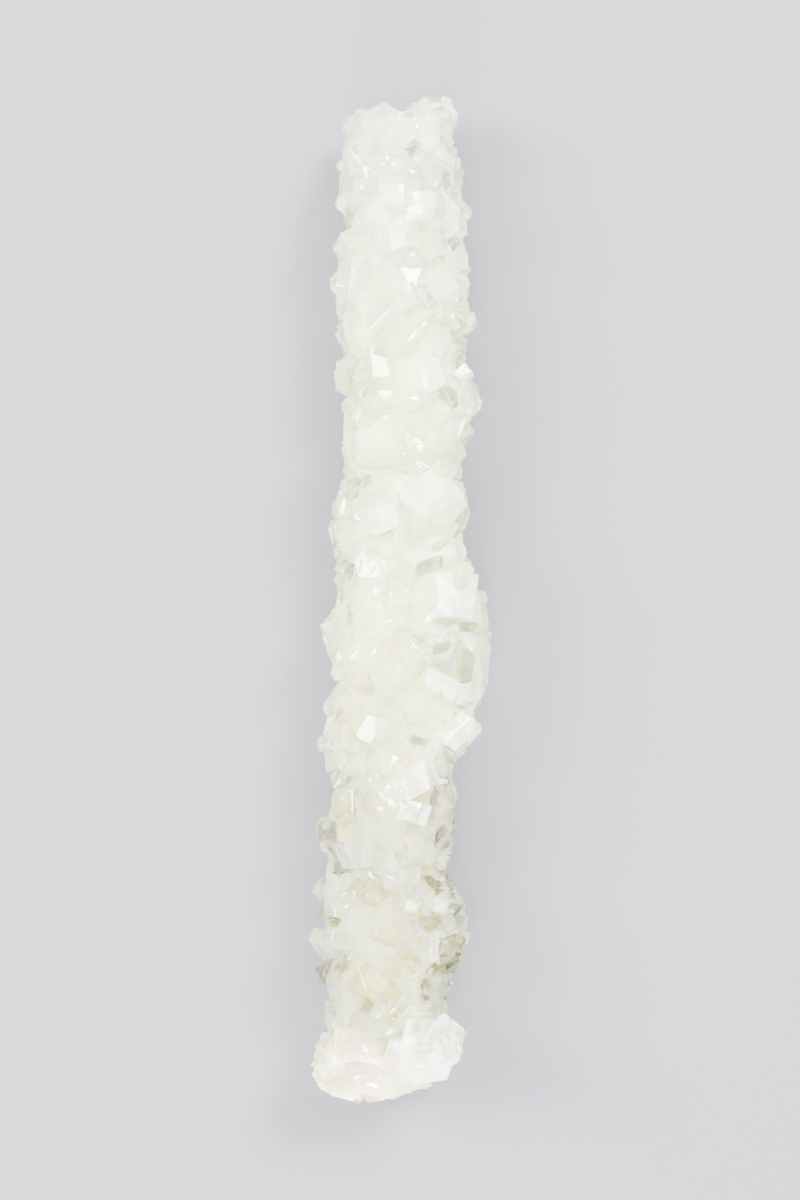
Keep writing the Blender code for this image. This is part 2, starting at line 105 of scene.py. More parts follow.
# Crystals that make the outline: tip (X, distance, height), way it points, length, width, thickness, turn
# about its own length, and how much of its length slopes to the tip
OUTLINE_CRYSTALS = (
    # -X side, from the broken end up
    ((-14.5, 6, 1), (-1, -0.15, 0.1), 13, 10, 8, 70, 0.2),
    ((-12.9, 20.5, 0), (-1, 0.1, 0.05), 11, 8.5, 7, 80, 0.12),
    ((-14.2, 26.6, 1.5), (-1, 0.05, 0.2), 12, 6.6, 6, 15, 0.45),
    ((-13.8, 33.8, -1), (-1, 0, -0.15), 12, 7.5, 6.5, 75, 0.25),
    ((-14.2, 43.4, 1), (-1, 0.25, 0.1), 13, 9, 8.5, 20, 0.48),
    ((-12.6, 57, 2), (-1, -0.1, 0.15), 12, 10.5, 8.5, 85, 0.22),
    ((-11.6, 64, -1.5), (-1, 0.2, -0.1), 11, 8, 7, 40, 0.3),
    ((-12.4, 75.7, 0.5), (-1, 0.15, 0.05), 12, 9, 8, 10, 0.45),
    ((-11.2, 92.1, 1), (-1, 0.05, 0.15), 11, 11, 8, 85, 0.3),
    ((-10.1, 115.4, 0.5), (-1, -0.2, 0.1), 11, 8.5, 7.5, 30, 0.3),
    ((-10.6, 130.3, 1), (-1, 0.1, 0.05), 11, 10, 7.5, 80, 0.25),
    ((-9.8, 142, -0.5), (-1, -0.05, -0.1), 10, 8.5, 7, 60, 0.2),
    # +X side, from the broken end up
    ((11.4, 11.9, 1.5), (1, 0.18, 0.15), 15, 10.5, 9, 62, 0.1),
    ((8.8, 20.5, 0), (1, -0.1, 0.05), 10, 7, 6.5, 80, 0.15),
    ((11.8, 26.6, 1.5), (1, -0.1, 0.2), 13, 9.5, 8, 75, 0.35),
    ((10.1, 33.6, -1), (1, 0.3, -0.1), 10.5, 6, 6.5, 40, 0.25),
    ((9.4, 43.4, 0.5), (1, -0.2, 0.05), 10.5, 7, 6.5, 15, 0.35),
    ((9.8, 49, 1), (1, 0.15, 0.15), 9.5, 5.5, 6, 30, 0.3),
    ((13.2, 58, 0.5), (1, -0.35, 0.1), 13, 8, 7.5, 75, 0.3),
    ((14.6, 70, 1), (1, -0.06, 0.12), 15, 13, 10, 85, 0.08),
    ((14.5, 80, -0.5), (1, 0.12, -0.05), 14, 8, 8.5, 80, 0.14),
    ((11.3, 95, 0.5), (1, -0.12, 0.1), 10.5, 8.5, 7.5, 60, 0.25),
    ((13.6, 111.5, 1), (1, 0.15, 0.1), 13, 8.5, 8, 30, 0.4),
    ((12.5, 124, 0), (1, 0.1, 0), 12, 8, 7.5, 25, 0.38),
    ((11.9, 132.5, 1), (1, -0.2, 0.15), 11.5, 7, 7, 50, 0.28),
    ((12.1, 141.7, -0.5), (1, 0.1, -0.05), 11.5, 7.5, 7, 70, 0.25),
    ((10.6, 149.3, 1), (1, 0.05, 0.1), 10, 6, 6, 80, 0.15),
    # Grown end
    ((10.2, 157.8, 0.8), (0.8, 0.75, 0.1), 11, 7, 6.5, 70, 0.2),
    ((6.8, 160, 1.5), (0.2, 1, 0.1), 11, 6.5, 6.5, 35, 0.25),
    ((-4, 159.6, 0.5), (-0.1, 1, 0.05), 10.5, 8.5, 7.5, 20, 0.22),
    ((1.6, 158, -2), (0.05, 1, -0.25), 10, 7, 7, 60, 0.2),
    ((-8.6, 154.5, -0.5), (-0.8, 0.65, 0), 10, 7.5, 6.5, 75, 0.2),
    ((0.5, 156.2, 5.2), (0, 0.8, 0.6), 10, 7.5, 7, 10, 0.22),
    ((3, 155.5, -6.2), (0.1, 0.7, -0.7), 9.5, 7.5, 7, 40, 0.22),
    # Broken end: broad glassy blocks side by side
    ((-10, 2.2, 0), (-0.55, -1, 0.05), 12, 9.5, 9, 80, 0.12),
    ((-4.5, 0, 1.2), (-0.08, -1, 0.1), 12, 10, 9.5, 85, 0.1),
    ((2, 2, -1), (0.22, -1, -0.1), 12, 9.5, 9, 75, 0.12),
    ((7.8, 5.6, 1), (0.6, -1, 0.12), 12.5, 9, 8.5, 70, 0.12),
    ((-3, 4, -6), (0, -0.75, -0.7), 11, 9.5, 8, 20, 0.15),
    ((-4, 4.5, 7), (-0.05, -0.6, 0.75), 11, 10, 8.5, 40, 0.15),
)

# Blocks underneath that it lies on: X, distance, length, width
REST_CRYSTALS = (
    (-5, 14, 10, 8),
    (3.5, 26, 9.5, 7.5),
    (-4.5, 48, 9, 8),
    (5, 66, 10.5, 8.5),
    (-0.8, 82, 11, 12.5),
    (4.5, 106, 9.5, 8),
    (-4, 126, 9.5, 8),
    (4.5, 143, 9, 7.5),
)

# Outline seen from above, anticlockwise from the grown end's -X corner: X and distance
OUTLINE = (
    (-6, 158.8), (-8.7, 155.9), (-8.4, 153.4), (-9.6, 148.6), (-8.7, 146.4), (-9.9, 142.5), (-8.9, 139.5),
    (-10.2, 136.2), (-9.4, 133.6), (-10.6, 130.3), (-9.3, 125), (-9.9, 122.6), (-8.8, 119.9),
    (-10.3, 115.4), (-8.9, 110.6), (-7.8, 107.3), (-8.9, 104.4), (-8.2, 102.1), (-9.8, 96.9),
    (-11.3, 92.1), (-9.8, 86.5), (-10.2, 83.2), (-9.2, 80.1), (-12.5, 75.7), (-10.5, 70.1), (-10.1, 65.7),
    (-11.8, 63.7), (-12.7, 57.2), (-11.5, 54.4), (-10.8, 49.8), (-14.2, 43.4), (-10.1, 38.6),
    (-10.8, 37.4), (-13.9, 33.8), (-11.3, 29.8), (-14.3, 26.6), (-12.5, 23.7), (-12.9, 20.3),
    (-11.3, 17.3), (-12, 14.6), (-11.5, 12.1), (-14, 8.9), (-14.5, 5.7), (-12.9, 2.9), (-8.8, 1.3),
    (-6.4, 0.2), (-2, 0.4), (3.2, 2.7), (5.2, 3.3), (6.8, 4.7), (10, 7.3), (11.5, 11.9), (8.8, 14.1),
    (7.4, 15.7), (8.8, 18.9), (8.4, 21.4), (10.2, 23.5), (12, 26.2), (11.2, 29.8), (10.2, 33.4),
    (8.8, 35.4), (7.9, 37.8), (9.5, 43.4), (8.5, 46.4), (9.9, 49), (8.3, 51.4), (9.6, 54.4), (13.4, 59.3),
    (12.9, 62.6), (14.5, 67.3), (14.7, 74.5), (14.4, 81.7), (12.1, 84.9), (10.6, 88.9), (11.5, 93.8),
    (10.3, 101.3), (12, 105.7), (13.7, 111), (13, 114), (10.5, 119.2), (12.6, 124), (11.2, 128.2),
    (12, 132.3), (10.5, 136.5), (12.2, 141.7), (10.1, 144.4), (10.8, 149.3), (8.6, 152.7), (10.3, 157),
    (7.6, 160.6), (5, 158.7), (2.9, 159.8), (0.3, 157.2), (-2.2, 159.2), (-4, 157.8),
)

# The hollow where the broken end split like glass, in metres: centre and half sizes
SCOOP = ((-0.0050, -0.0010, 0.0110), (0.0112, 0.0100, 0.0080))

# Thin white edges where the sugar split: X and distance, then width and thickness
SPLIT_EDGES = (
    # The hollow's lip
    (((-11.3, 6.4), (-9.3, 8.2), (-6.2, 9.0), (-2.8, 8.7), (0.3, 7.4), (2.8, 5.6), (4.8, 3.8)), 1.5, 1.1),
    # Its outer rim
    (((-12.9, 4.6), (-11.8, 3.4), (-9.6, 2.6), (-7.4, 1.9)), 0.8, 0.6),
)

# Ridges that fan out beside a crevice: X and distance of their root, slopes, spacing and lengths
FAN_ROOT = (5.4, 27.2)
FAN_SLOPES = (14, 2, -10, -24, -40)
FAN_SPACING = 0.5
FAN_LENGTHS = (3.6, 4.4)

# Crevices left between crystals: X and distance of the opening, its width and its depth
CREVICES = (
    (10.1, 76, 2, 3.6), (6.8, 72.7, 1.8, 3.2), (9.6, 70.6, 3.4, 3.4), (3.4, 58.2, 1.6, 2.4),
    (10.1, 56.5, 2, 3), (6.2, 43, 1.8, 2.8), (0.6, 40.8, 1.5, 2.2), (5.9, 35.8, 2.2, 3),
    (5.1, 29.6, 2, 2.8), (8.4, 24.8, 2.4, 3.6), (4.5, 19.5, 1.8, 2.6), (-4.4, 17, 1.4, 2.2),
    (-10.4, 12.6, 1.5, 2.4), (-9.4, 38.9, 2, 3), (-10.2, 29.9, 1.7, 2.8), (5.1, 85.6, 2.4, 3.2),
    (7.3, 89.3, 1.8, 2.6), (8.4, 112, 2.2, 3), (5.1, 127.6, 2, 2.8), (3.4, 125.4, 1.6, 2.4),
    (-2.5, 118.5, 1.4, 2), (8.9, 136.5, 1.7, 2.6), (-6.8, 98.5, 1.5, 2.4), (-7.4, 84.8, 1.6, 2.4),
    (2.4, 150.5, 1.5, 2.2), (8.1, 146, 1.6, 2.4),
)

# Crystals that stand out on the upper side: tip, way it points, length, width, thickness, turn, and
# clearness from -1, white with bubbles, to 1, clear
SHOWN_CRYSTALS = (
    ((8.5, 96, 9.2), (0.55, 0.15, 0.8), 13, 9.5, 8, 20, -0.6),
    ((12.8, 84.2, 6.2), (0.8, 0.05, 0.55), 13, 9, 7, 70, -0.9),
    ((6, 85.5, 9.8), (0.3, -0.1, 0.9), 11, 7.5, 6.5, 50, -0.5),
    ((6.2, 65.8, 9.6), (0.35, -0.3, 0.85), 11, 6, 5.5, 15, -0.6),
    ((10, 56, 7), (0.7, -0.4, 0.6), 11, 7, 6, 60, -0.7),
    ((4.8, 52.5, 10), (0.3, 0.1, 0.9), 11, 7.5, 4.5, 85, -0.8),
    # This crystal is white with bubbles, and partly a painted highlight where a glint falls on it
    ((3, 47, 10.6), (0.18, 0.15, 0.95), 10, 5, 3.2, 25, -1),
    # These two small crystals are white with bubbles only as painted highlights, standing in for glints
    ((2, 32.2, 10.6), (0.22, -0.25, 0.95), 6, 2.5, 2, 30, -0.7),
    ((7.2, 31.4, 8.6), (0.62, -0.15, 0.75), 6, 2.8, 2, 80, -0.7),
    ((7.5, 34, 8), (0.45, 0.25, 0.8), 12, 8, 6, 40, 1),
    ((10.8, 27, 6), (0.75, -0.2, 0.55), 12, 8.5, 5.5, 85, 1),
    ((-2, 90.5, 11.5), (-0.15, -0.3, 0.9), 9, 4.8, 4, 35, -0.6),
    ((-6.5, 70, 9), (-0.45, 0.2, 0.8), 12, 10, 8, 75, 0.4),
    ((-5, 33, 9.8), (-0.25, 0.1, 0.95), 13, 15, 11, 15, 0.1),
    ((-5.5, 45, 9.6), (-0.3, -0.05, 0.95), 13, 12, 10, 75, 0.1),
    ((1.5, 135, 11.2), (0.1, 0.2, 0.95), 9.5, 5, 4.2, 30, -0.6),
    ((-0.5, 144.5, 10.8), (-0.1, 0.3, 0.95), 9, 5.5, 4, 60, -0.3),
    ((-4.5, 122, 10), (-0.3, -0.15, 0.9), 12, 9.5, 7.5, 15, 0.3),
    ((7, 116, 9.2), (0.5, 0.25, 0.8), 11.5, 8, 6, 80, 0),
    ((-3.5, 106, 10.4), (-0.2, 0.25, 0.95), 12, 9, 8, 50, 0.5),
)

# The block of crystals beside the hollow, most of them white with bubbles, in the same order
END_CRYSTALS = (
    ((11.6, 11.6, 5), (0.9, 0.22, 0.35), 11.5, 8, 7.8, 25, -0.95),
    ((9.8, 7.4, 3.6), (0.8, -0.4, 0.4), 10, 6, 6.2, 10, -0.3),
    ((6.6, 10.8, 9.6), (0.35, 0.12, 0.9), 8, 6.8, 5.8, 70, -1),
    ((4.8, 6.4, 7), (0.3, -0.6, 0.7), 8, 5.2, 5, 85, 0.2),
    ((9.2, 13.2, 8), (0.5, 0.5, 0.65), 6.5, 4.6, 4, 30, -1),
    ((7.8, 8.6, 9.2), (0.45, -0.25, 0.85), 5.5, 3.6, 3, 65, -0.9),
    ((4, 12.2, 10.8), (0.1, 0.2, 0.97), 7, 6.2, 5, 10, -1),
)

# Later growth: how many at most, length, how far out, cut of the edges, how patchy
LATER = (
    (620, (3.2 * MM, 6.5 * MM), (0.4 * MM, 1.7 * MM), 0.08 * MM, 0.5),
    (900, (1.5 * MM, 3.2 * MM), (0.25 * MM, 0.9 * MM), 0.04 * MM, 1.0),
)

# Shape of a sucrose crystal. Angles and slopes are in degrees.
SIDES_LEAN = 103.3  # between its two pairs of side faces
THIRD_FACE_OUT = 0.12  # how much of the thickness an end's third face stands off
NEARLY_PARALLEL = 1e-4  # planes whose normals span less than this don't meet in a corner
ROUNDING = 1e-8
# Ranges for chance: slopes of an end's faces, and cuts of the long edges, where 1 leaves an edge whole
GENTLE_SLOPE, STEEP_SLOPE, SIDE_SLOPE = (4, 40), (30, 62), (12, 48)
DEEP_CUT, LIGHT_CUT = (0.80, 1.05), (0.9, 1.1)
# Corners nearer than this are one, and so are faces that turn less than this
SAME_CORNER, SAME_FACE = 0.02 * MM, math.radians(1.0)

# First growth: where the rings of crystals start, the length without any, and where a ring's band lacks some
FIRST_RING, NO_RINGS = 0.009, 0.012
BARE_BAND = 110  # degrees round the axis from +X
STEEPEST_TILT = 75.0
SUNK = 0.8 * MM  # how far a block underneath reaches past the level that it is cut to
PAST_OUTLINE = 0.3 * MM
# Small crystals at the outline's corners: their widths, their heights in mm, and how sharp a corner is
TIP_WIDTHS = (2.4 * MM, 5.5 * MM)
TIP_HEIGHTS = (-2.5, 3.0)
LEAST_CORNER = -0.0000005
SPLIT_END = 0.014  # nearer to the broken end, no small crystals grow at the outline

# How far the edges of placed crystals, split edges and ridges are cut
PLACED_CUT, SLIVER_CUT, RIDGE_CUT = 0.12 * MM, 0.06 * MM, 0.05 * MM
# A split edge lies at the height just behind it, and its slivers overlap
BEHIND_EDGE, EDGE_OVERLAP, EDGE_HEIGHT = 0.6 * MM, 1.6 * MM, 0.006

# Rays look for the stick from these places: over it, beside its axis, and past its ends from its middle
OVER_STICK, BESIDE_STICK, PAST_ENDS, MIDDLE = 0.05, 0.04, 0.12, 0.08
END_SHARE, END_REACH = 0.09, 0.009  # how many of the later crystals try the ends, and how far from the axis
GROWTH_PATCH = 11 * MM
# Broad faces left the upper side's -X half smooth, between these places, and it lacks this share of them
SMOOTH_SIDE, SMOOTH_SHARE = ((-0.010, 0.001), (0.014, 0.115), (0.003, 1.0)), 0.7
SCOOP_MARGIN = 1.2 * MM

# The cloudy inside of a crystal: its share of the size, and how far towards the axis the place lies that it
# shrinks to. It is smaller this far aside of the axis, and from the second to the third of four distances.
INSIDE, ROOT = 0.70, 0.36
AXIS_ENDS, HALF_WIDTH = (0.010, 0.153), 0.010
CLEARER = (0.007, 0.017, 0.020, 0.060)
CLEAR_BELOW = 3.5 * MM  # smaller crystals have no cloudy inside
CELL = 0.6 * MM  # of the mesh that the insides are melted into
# The dense middle is drawn in this far under the skin and in the heart, and the crevices are this much wider
UNDER_SKIN, IN_HEART = 1.0 * MM, 2.2 * MM
SKIN_CREVICES, HEART_CREVICES = 1.2, 1.8
# How far the heart stays off the floor and off the hollow
OFF_FLOOR, OFF_SCOOP = 1.0 * MM, 1.2 * MM

CORE_SEED, CREVICE_SEED = 5, 3
CREVICE_VALUE = 2.0  # what the walls of a crevice hold where a crystal's faces hold its own value
SLAB = (0.08, 0.24, 0.01)

# Sizes of the sugar's patterns
MILK_PATCH, CLOUD_SIZE, MOTTLE_SIZE, STEP_SPACING = 8 * MM, 4 * MM, 2.2 * MM, 1.2 * MM
GRAIN_LOTS = 6.0  # how fast the tone changes with the way that a crystal points
SUCROSE_IOR = 1.54
# A Mix node of colours, and the places of its factor, its two colours and the colour that it gives
IN_COLOUR = {"data_type": "RGBA"}
FACTOR, FIRST, SECOND, MIXED = 0, 6, 7, 2

FLOOR_SIZE, FLOOR_GAP = 6.0, 0.0002
SENSOR_WIDTH = 36.0

# Softboxes: name, place, size and power in watts
SOFTBOXES = (
    ("key_softbox", (0.42, 0.45, 0.72), (0.30, 0.30), 41.0),
    ("side_softbox", (-0.62, 0.15, 0.55), (0.24, 0.44), 28.0),
    ("near_softbox", (-0.12, -0.25, 0.95), (0.14, 0.14), 7.0),
    ("grown_end_softbox", (-0.20, 0.95, 0.45), (0.40, 0.12), 5.5),
    ("low_softbox", (0.75, -0.45, 0.40), (0.12, 0.30), 5.5),
    ("broken_end_softbox", (-0.10, -0.80, 0.45), (0.36, 0.12), 26.0),
)


def linear(hex_colour):
    """An sRGB hex colour as linear red, green, blue and alpha."""
    parts = [int(hex_colour[i : i + 2], 16) / 255 for i in (1, 3, 5)]
    return (*(p / 12.92 if p <= 0.04045 else ((p + 0.055) / 1.055) ** 2.4 for p in parts), 1.0)


WHITE = linear("#FFFFFF")


def colour_setting(name, description, hex_colour):
    """A colour that a user can pick, whose default is an sRGB hex value."""
    return FloatVectorProperty(
        name=name, description=description, default=linear(hex_colour), size=4, min=0, max=1, subtype="COLOR"
    )


class CrystalSizes(bpy.types.PropertyGroup):
    """How the crystals grow."""

    seed: IntProperty(name="Seed", description="Another seed grows another stick", default=11)
    rest_depth: FloatProperty(
        name="Rest Depth", description="From the axis down to the floor", default=10.6 * MM, unit="LENGTH"
    )
    length: FloatProperty(name="Length", description="End to end", default=0.160, unit="LENGTH")


class SugarLooks(bpy.types.PropertyGroup):
    """The sugar's colours."""

    grown: colour_setting("Grown End", "Crystals at the whiter, grown end", "#ECF0EA")
    middle: colour_setting("Middle", "Crystals halfway", "#F5F6DA")
    broken: colour_setting("Lower Part", "Crystals near the broken end", "#C9C7A3")
    end: colour_setting("Broken End", "Crystals at the very end", "#FFF7DA")
    milk: colour_setting("Milk", "The cloudy inside where it is densest", "#FAF9E4")
    syrup: colour_setting("Syrup", "The cloudy inside where it is clearest", "#C6C6A0")
    bubbles: colour_setting("Bubbles", "Crystals full of fine bubbles", "#FFFDF4")
    dim: colour_setting("Dim", "Times the colour of the darkest crystals", "#DFDFCB")
    glass: colour_setting("Glass", "Crystals as clear as glass", "#F1F3E8")
    # Painted shade: the colour that the walls of a crevice are darkened to, where shade falls in them
    crevice_shade: colour_setting("Crevice Shade", "Painted shade on the walls of a crevice", "#CDD0C2")


class StageLooks(bpy.types.PropertyGroup):
    """Floor, light and camera."""

    floor: colour_setting("Floor", "Colour of the floor", "#7F8087")
    room: colour_setting("Room Light", "Colour of the light from all round", "#F0F0EE")
    room_strength: FloatProperty(name="Room Strength", description="How strong that light is", default=0.35)
    camera_height: FloatProperty(name="Camera", description="Its height", default=0.46, unit="LENGTH")
    lens: FloatProperty(name="Lens", description="The camera's focal length", default=85.0, unit="CAMERA")


def metres(row):
    """The row's numbers, which are in mm, in metres."""
    return [number / 1000 for number in row]


def core_at(distance):
    """Reach to -X, reach to +X and half thickness of the dense middle, this far from the broken end."""
    stations = [metres(row) for row in CORE_STATIONS]
    before = stations[0]
    for after in stations[1:]:
        if distance <= after[0]:
            share = max(0.0, (distance - before[0]) / (after[0] - before[0]))
            return [a + (b - a) * share for a, b in zip(before[1:], after[1:])]
        before = after
    return before[1:]


def core_point(distance, angle):
    """A point on the dense middle's skin, and the way out from there."""
    left, right, half_thickness = core_at(distance)
    centre = (right - left) / 2
    half_width = (right + left) / 2
    out = Vector((math.cos(angle) / half_width, 0.0, math.sin(angle) / half_thickness)).normalized()
    skin = Vector((centre + half_width * math.cos(angle), distance, half_thickness * math.sin(angle)))
    return skin, out


def habit_points(length, width, thickness, ends, cuts):
    """Corners of a sucrose crystal along Z: a leaning block whose ends are wedges.

    ends holds, for each end, the slopes of its three faces in degrees. cuts are how far out the four faces
    lie that cut the block's long edges, where 1 leaves an edge whole.
    """
    lean = math.radians(SIDES_LEAN)
    a = Vector((1.0, 0.0, 0.0))
    c = Vector((math.cos(lean), math.sin(lean), 0.0))
    planes = [(way * sign, reach) for way, reach in ((a, width / 2), (c, thickness / 2)) for sign in (1, -1)]
    for (side, face), cut in zip(((1, 1), (-1, -1), (1, -1), (-1, 1)), cuts):
        way = (a * side / width + c * face / thickness).normalized()
        det = a.x * c.y - a.y * c.x
        corner = Vector((
            (side * width / 2 * c.y - face * thickness / 2 * a.y) / det,
            (face * thickness / 2 * a.x - side * width / 2 * c.x) / det, 0.0,
        ))
        planes.append((way, way.dot(corner) * cut))
    for end, slopes in zip((1, -1), ends):
        for side, slope in zip((1, -1), slopes[:2]):
            angle = math.radians(slope)
            way = Vector((side * math.sin(angle), 0.0, end * math.cos(angle)))
            planes.append((way, math.cos(angle) * length / 2))
        angle = math.radians(slopes[2])
        way = Vector((0.0, math.sin(angle), end * math.cos(angle)))
        planes.append((way, math.cos(angle) * length / 2 + THIRD_FACE_OUT * thickness * math.sin(angle)))
    # The corners are where three planes meet and no other plane cuts them off
    normals = np.array([way[:] for way, _ in planes])
    reaches = np.array([reach for _, reach in planes])
    threes = np.array(list(itertools.combinations(range(len(planes)), 3)))
    matrices = normals[threes]
    met = np.abs(np.linalg.det(matrices)) > NEARLY_PARALLEL
    corners = np.linalg.solve(matrices[met], reaches[threes[met]][:, :, None])[:, :, 0]
    inside = (corners @ normals.T <= reaches + ROUNDING).all(axis=1)
    return [Vector(corner) for corner in corners[inside]]


def habit(chance):
    """Chance slopes of both ends, and chance cuts."""
    ends = [
        (chance.uniform(*GENTLE_SLOPE), chance.uniform(*STEEP_SLOPE),
         chance.choice((-1, 1)) * chance.uniform(*SIDE_SLOPE))
        for _ in range(2)
    ]
    cuts = [chance.uniform(*cut) for cut in (DEEP_CUT, DEEP_CUT, LIGHT_CUT, LIGHT_CUT)]
    return ends, cuts


def turned(points, direction, spin):
    """The points with their Z turned to the direction, after a spin about it in radians."""
    turn = direction.to_track_quat("Z", "Y").to_matrix() @ Matrix.Rotation(spin, 3, "Z")
    return [turn @ point for point in points]


def grain_of(mesh):
    """The way of a crystal's longest edge."""
    ends = max(
        (tuple(mesh.vertices[v].co for v in edge.vertices) for edge in mesh.edges),
        key=lambda pair: (pair[0] - pair[1]).length,
    )
    return (ends[1] - ends[0]).normalized()


@contextlib.contextmanager
def changing(mesh):
    """The mesh, opened to be changed."""
    built = bmesh.new()
    built.from_mesh(mesh)
    yield built
    built.to_mesh(mesh)
    built.free()


def crystal_object(name, points, edge, value):
    """A closed crystal round the points, its edges cut by edge, in metres. Its faces hold the value."""
    mesh = bpy.data.meshes.new(name)
    with changing(mesh) as built:
        for point in points:
            built.verts.new(point)
        bmesh.ops.remove_doubles(built, verts=built.verts, dist=SAME_CORNER)
        hull = bmesh.ops.convex_hull(built, input=built.verts)
        inside = {v for v in hull["geom_interior"] if isinstance(v, bmesh.types.BMVert)}
        bmesh.ops.delete(built, geom=list(inside), context="VERTS")
        bmesh.ops.dissolve_limit(built, angle_limit=SAME_FACE, verts=built.verts, edges=built.edges)
        bmesh.ops.recalc_face_normals(built, faces=built.faces)
        if edge > 0:
            bmesh.ops.bevel(
                built, geom=list(built.edges), offset=edge, offset_type="OFFSET", segments=1, affect="EDGES",
                clamp_overlap=True,
            )
    held = mesh.attributes.new("crystal", "FLOAT", "FACE")
    held.data.foreach_set("value", [value] * len(mesh.polygons))
    grain = mesh.attributes.new("grain", "FLOAT_VECTOR", "FACE")
    grain.data.foreach_set("vector", list(grain_of(mesh)) * len(mesh.polygons))
    return bpy.data.objects.new(name, mesh)


def grown_on(distance, angle, size, stands_out, tilt, chance):
    """Corners of a crystal that grows out of the dense middle there."""
    width = size * chance.uniform(0.55, 0.85)
    thickness = size * chance.uniform(0.42, 0.65)
    ends, cuts = habit(chance)
    around = chance.uniform(0.0, 2 * math.pi)
    spin = chance.uniform(0.0, 2 * math.pi)
    skin, out = core_point(distance, angle)
    across = out.cross(Vector((0.0, 1.0, 0.0)))
    aside = (Matrix.Rotation(around, 3, out) @ across).normalized()
    direction = (Matrix.Rotation(tilt, 3, aside) @ out).normalized()
    points = turned(habit_points(size, width, thickness, ends, cuts), direction, spin)
    reach = max(point.dot(out) for point in points)
    shift = skin + out * (stands_out - reach)
    return [point + shift for point in points]


def cover_crystals(chance, spacing, around, size, stands_out, bare=0.0):
    """Point sets of crystals, in rings all along the stick. bare is how many of them a broad band lacks."""
    length = bpy.context.scene.crystal_sizes.length
    rings = round((length - NO_RINGS) / spacing)
    for ring in range(rings):
        for place in range(around):
            distance = FIRST_RING + (ring + chance.uniform(-0.45, 0.45)) * spacing
            angle = 2 * math.pi * (place + 0.5 * (ring % 2) + chance.uniform(-0.3, 0.3)) / around
            big = chance.uniform(*size)
            out = chance.uniform(*stands_out)
            tilt = math.radians(chance.uniform(0.0, STEEPEST_TILT))
            points = grown_on(distance, angle, big, out, tilt, chance)
            if chance.random() > bare * max(0.0, math.cos(angle - math.radians(BARE_BAND))):
                yield points


def outline_crystals(chance):
    """Point sets of the crystals that make the outline."""
    for tip, direction, *block, spin, slope in OUTLINE_CRYSTALS:
        length, width, thickness = metres(block)
        way = Vector(direction).normalized()
        steep = max(math.degrees(math.atan2(slope * length, width / 2)), 22)
        ends = [(steep * chance.uniform(0.5, 0.9), min(steep * 1.3, 62), chance.uniform(-35, 35))] * 2
        cuts = [chance.uniform(0.85, 1.05) for _ in range(4)]
        points = turned(habit_points(length, width, thickness, ends, cuts), way, math.radians(spin))
        shift = Vector(metres(tip)) - way * max(point.dot(way) for point in points)
        yield [point + shift for point in points]


def placed_crystals(chance, rows):
    """Crystals that stand where the rows say, with their cut and clearness."""
    for tip, direction, *block, spin, clearness in rows:
        way = Vector(direction).normalized()
        ends = [(chance.uniform(8, 24), chance.uniform(30, 50), chance.uniform(-25, 25))] * 2
        cuts = [chance.uniform(0.88, 1.05) for _ in range(4)]
        points = turned(habit_points(*metres(block), ends, cuts), way, math.radians(spin))
        far = max(points, key=lambda point: point.dot(way))
        yield held_in([point + Vector(metres(tip)) - far for point in points]), PLACED_CUT, clearness


def ray_tree(mesh):
    """The mesh's faces, ready to be hit by rays."""
    return BVHTree.FromPolygons(
        [vertex.co for vertex in mesh.vertices], [polygon.vertices[:] for polygon in mesh.polygons]
    )


def height_at(tree, x, distance):
    """Height of the upper side there, or None beside the stick."""
    hit = tree.ray_cast(Vector((x, distance, OVER_STICK)), Vector((0, 0, -1)))[0]
    return hit.z if hit else None


def edge_crystals(tree, chance):
    """Thin white slivers end to end along the edges of the split, with their cut and clearness."""
    for edge, width, thickness in SPLIT_EDGES:
        spots = [Vector((x * MM, distance * MM, 0.0)) for x, distance in edge]
        for spot in spots:
            spot.z = height_at(tree, spot.x, spot.y + BEHIND_EDGE) or EDGE_HEIGHT
        for before, after in zip(spots, spots[1:]):
            way = after - before
            ends = [(20, 35, chance.uniform(-20, 20))] * 2
            sliver = habit_points(way.length + EDGE_OVERLAP, width * MM, thickness * MM, ends, [0.9] * 4)
            middle = (before + after) / 2
            points = [point + middle for point in turned(sliver, way, chance.uniform(0, math.pi))]
            yield held_in(points), SLIVER_CUT, -1.0


def fan_crystals(tree, chance):
    """Thin ridges side by side, fanned out from one root, with their cut and clearness."""
    x, distance = FAN_ROOT
    for number, slope in enumerate(FAN_SLOPES):
        turn = math.radians(slope)
        root = Vector((x * MM, (distance - FAN_SPACING * number) * MM, 0.0))
        tip = root + Vector((math.cos(turn), math.sin(turn), 0.0)) * chance.uniform(*FAN_LENGTHS) * MM
        for spot in (root, tip):
            spot.z = height_at(tree, spot.x, spot.y) or 0.0
        ridge = habit_points(
            (tip - root).length + 1 * MM, 1.0 * MM, 0.5 * MM, [(30, 50, 10), (10, 20, 0)], [0.9] * 4
        )
        middle = (root + tip) / 2
        yield [point + middle for point in turned(ridge, tip - root, math.pi / 2)], RIDGE_CUT, -0.2


def crevices(tree, wider):
    """Wedges the shape of the crevices, made wider and deeper by a factor, with their cut and face value."""
    chance = random.Random(CREVICE_SEED)
    for x, distance, width, depth in CREVICES:
        height = height_at(tree, x * MM, distance * MM)
        if height is None:
            continue
        out = Vector((x * MM, 0.0, height)).normalized()
        way = (out + Vector((chance.uniform(-0.5, 0.5), chance.uniform(-0.5, 0.5), 0.0))).normalized()
        spin = chance.uniform(0, math.pi)
        hollow = habit_points(
            2 * depth * wider * MM, width * 1.5 * wider * MM, width * 0.7 * wider * MM,
            [(chance.uniform(20, 40), chance.uniform(40, 60), 20)] * 2, [0.85] * 4,
        )
        mouth = Vector((x * MM, distance * MM, height))
        yield [point + mouth for point in turned(hollow, way, spin)], 0.0, CREVICE_VALUE


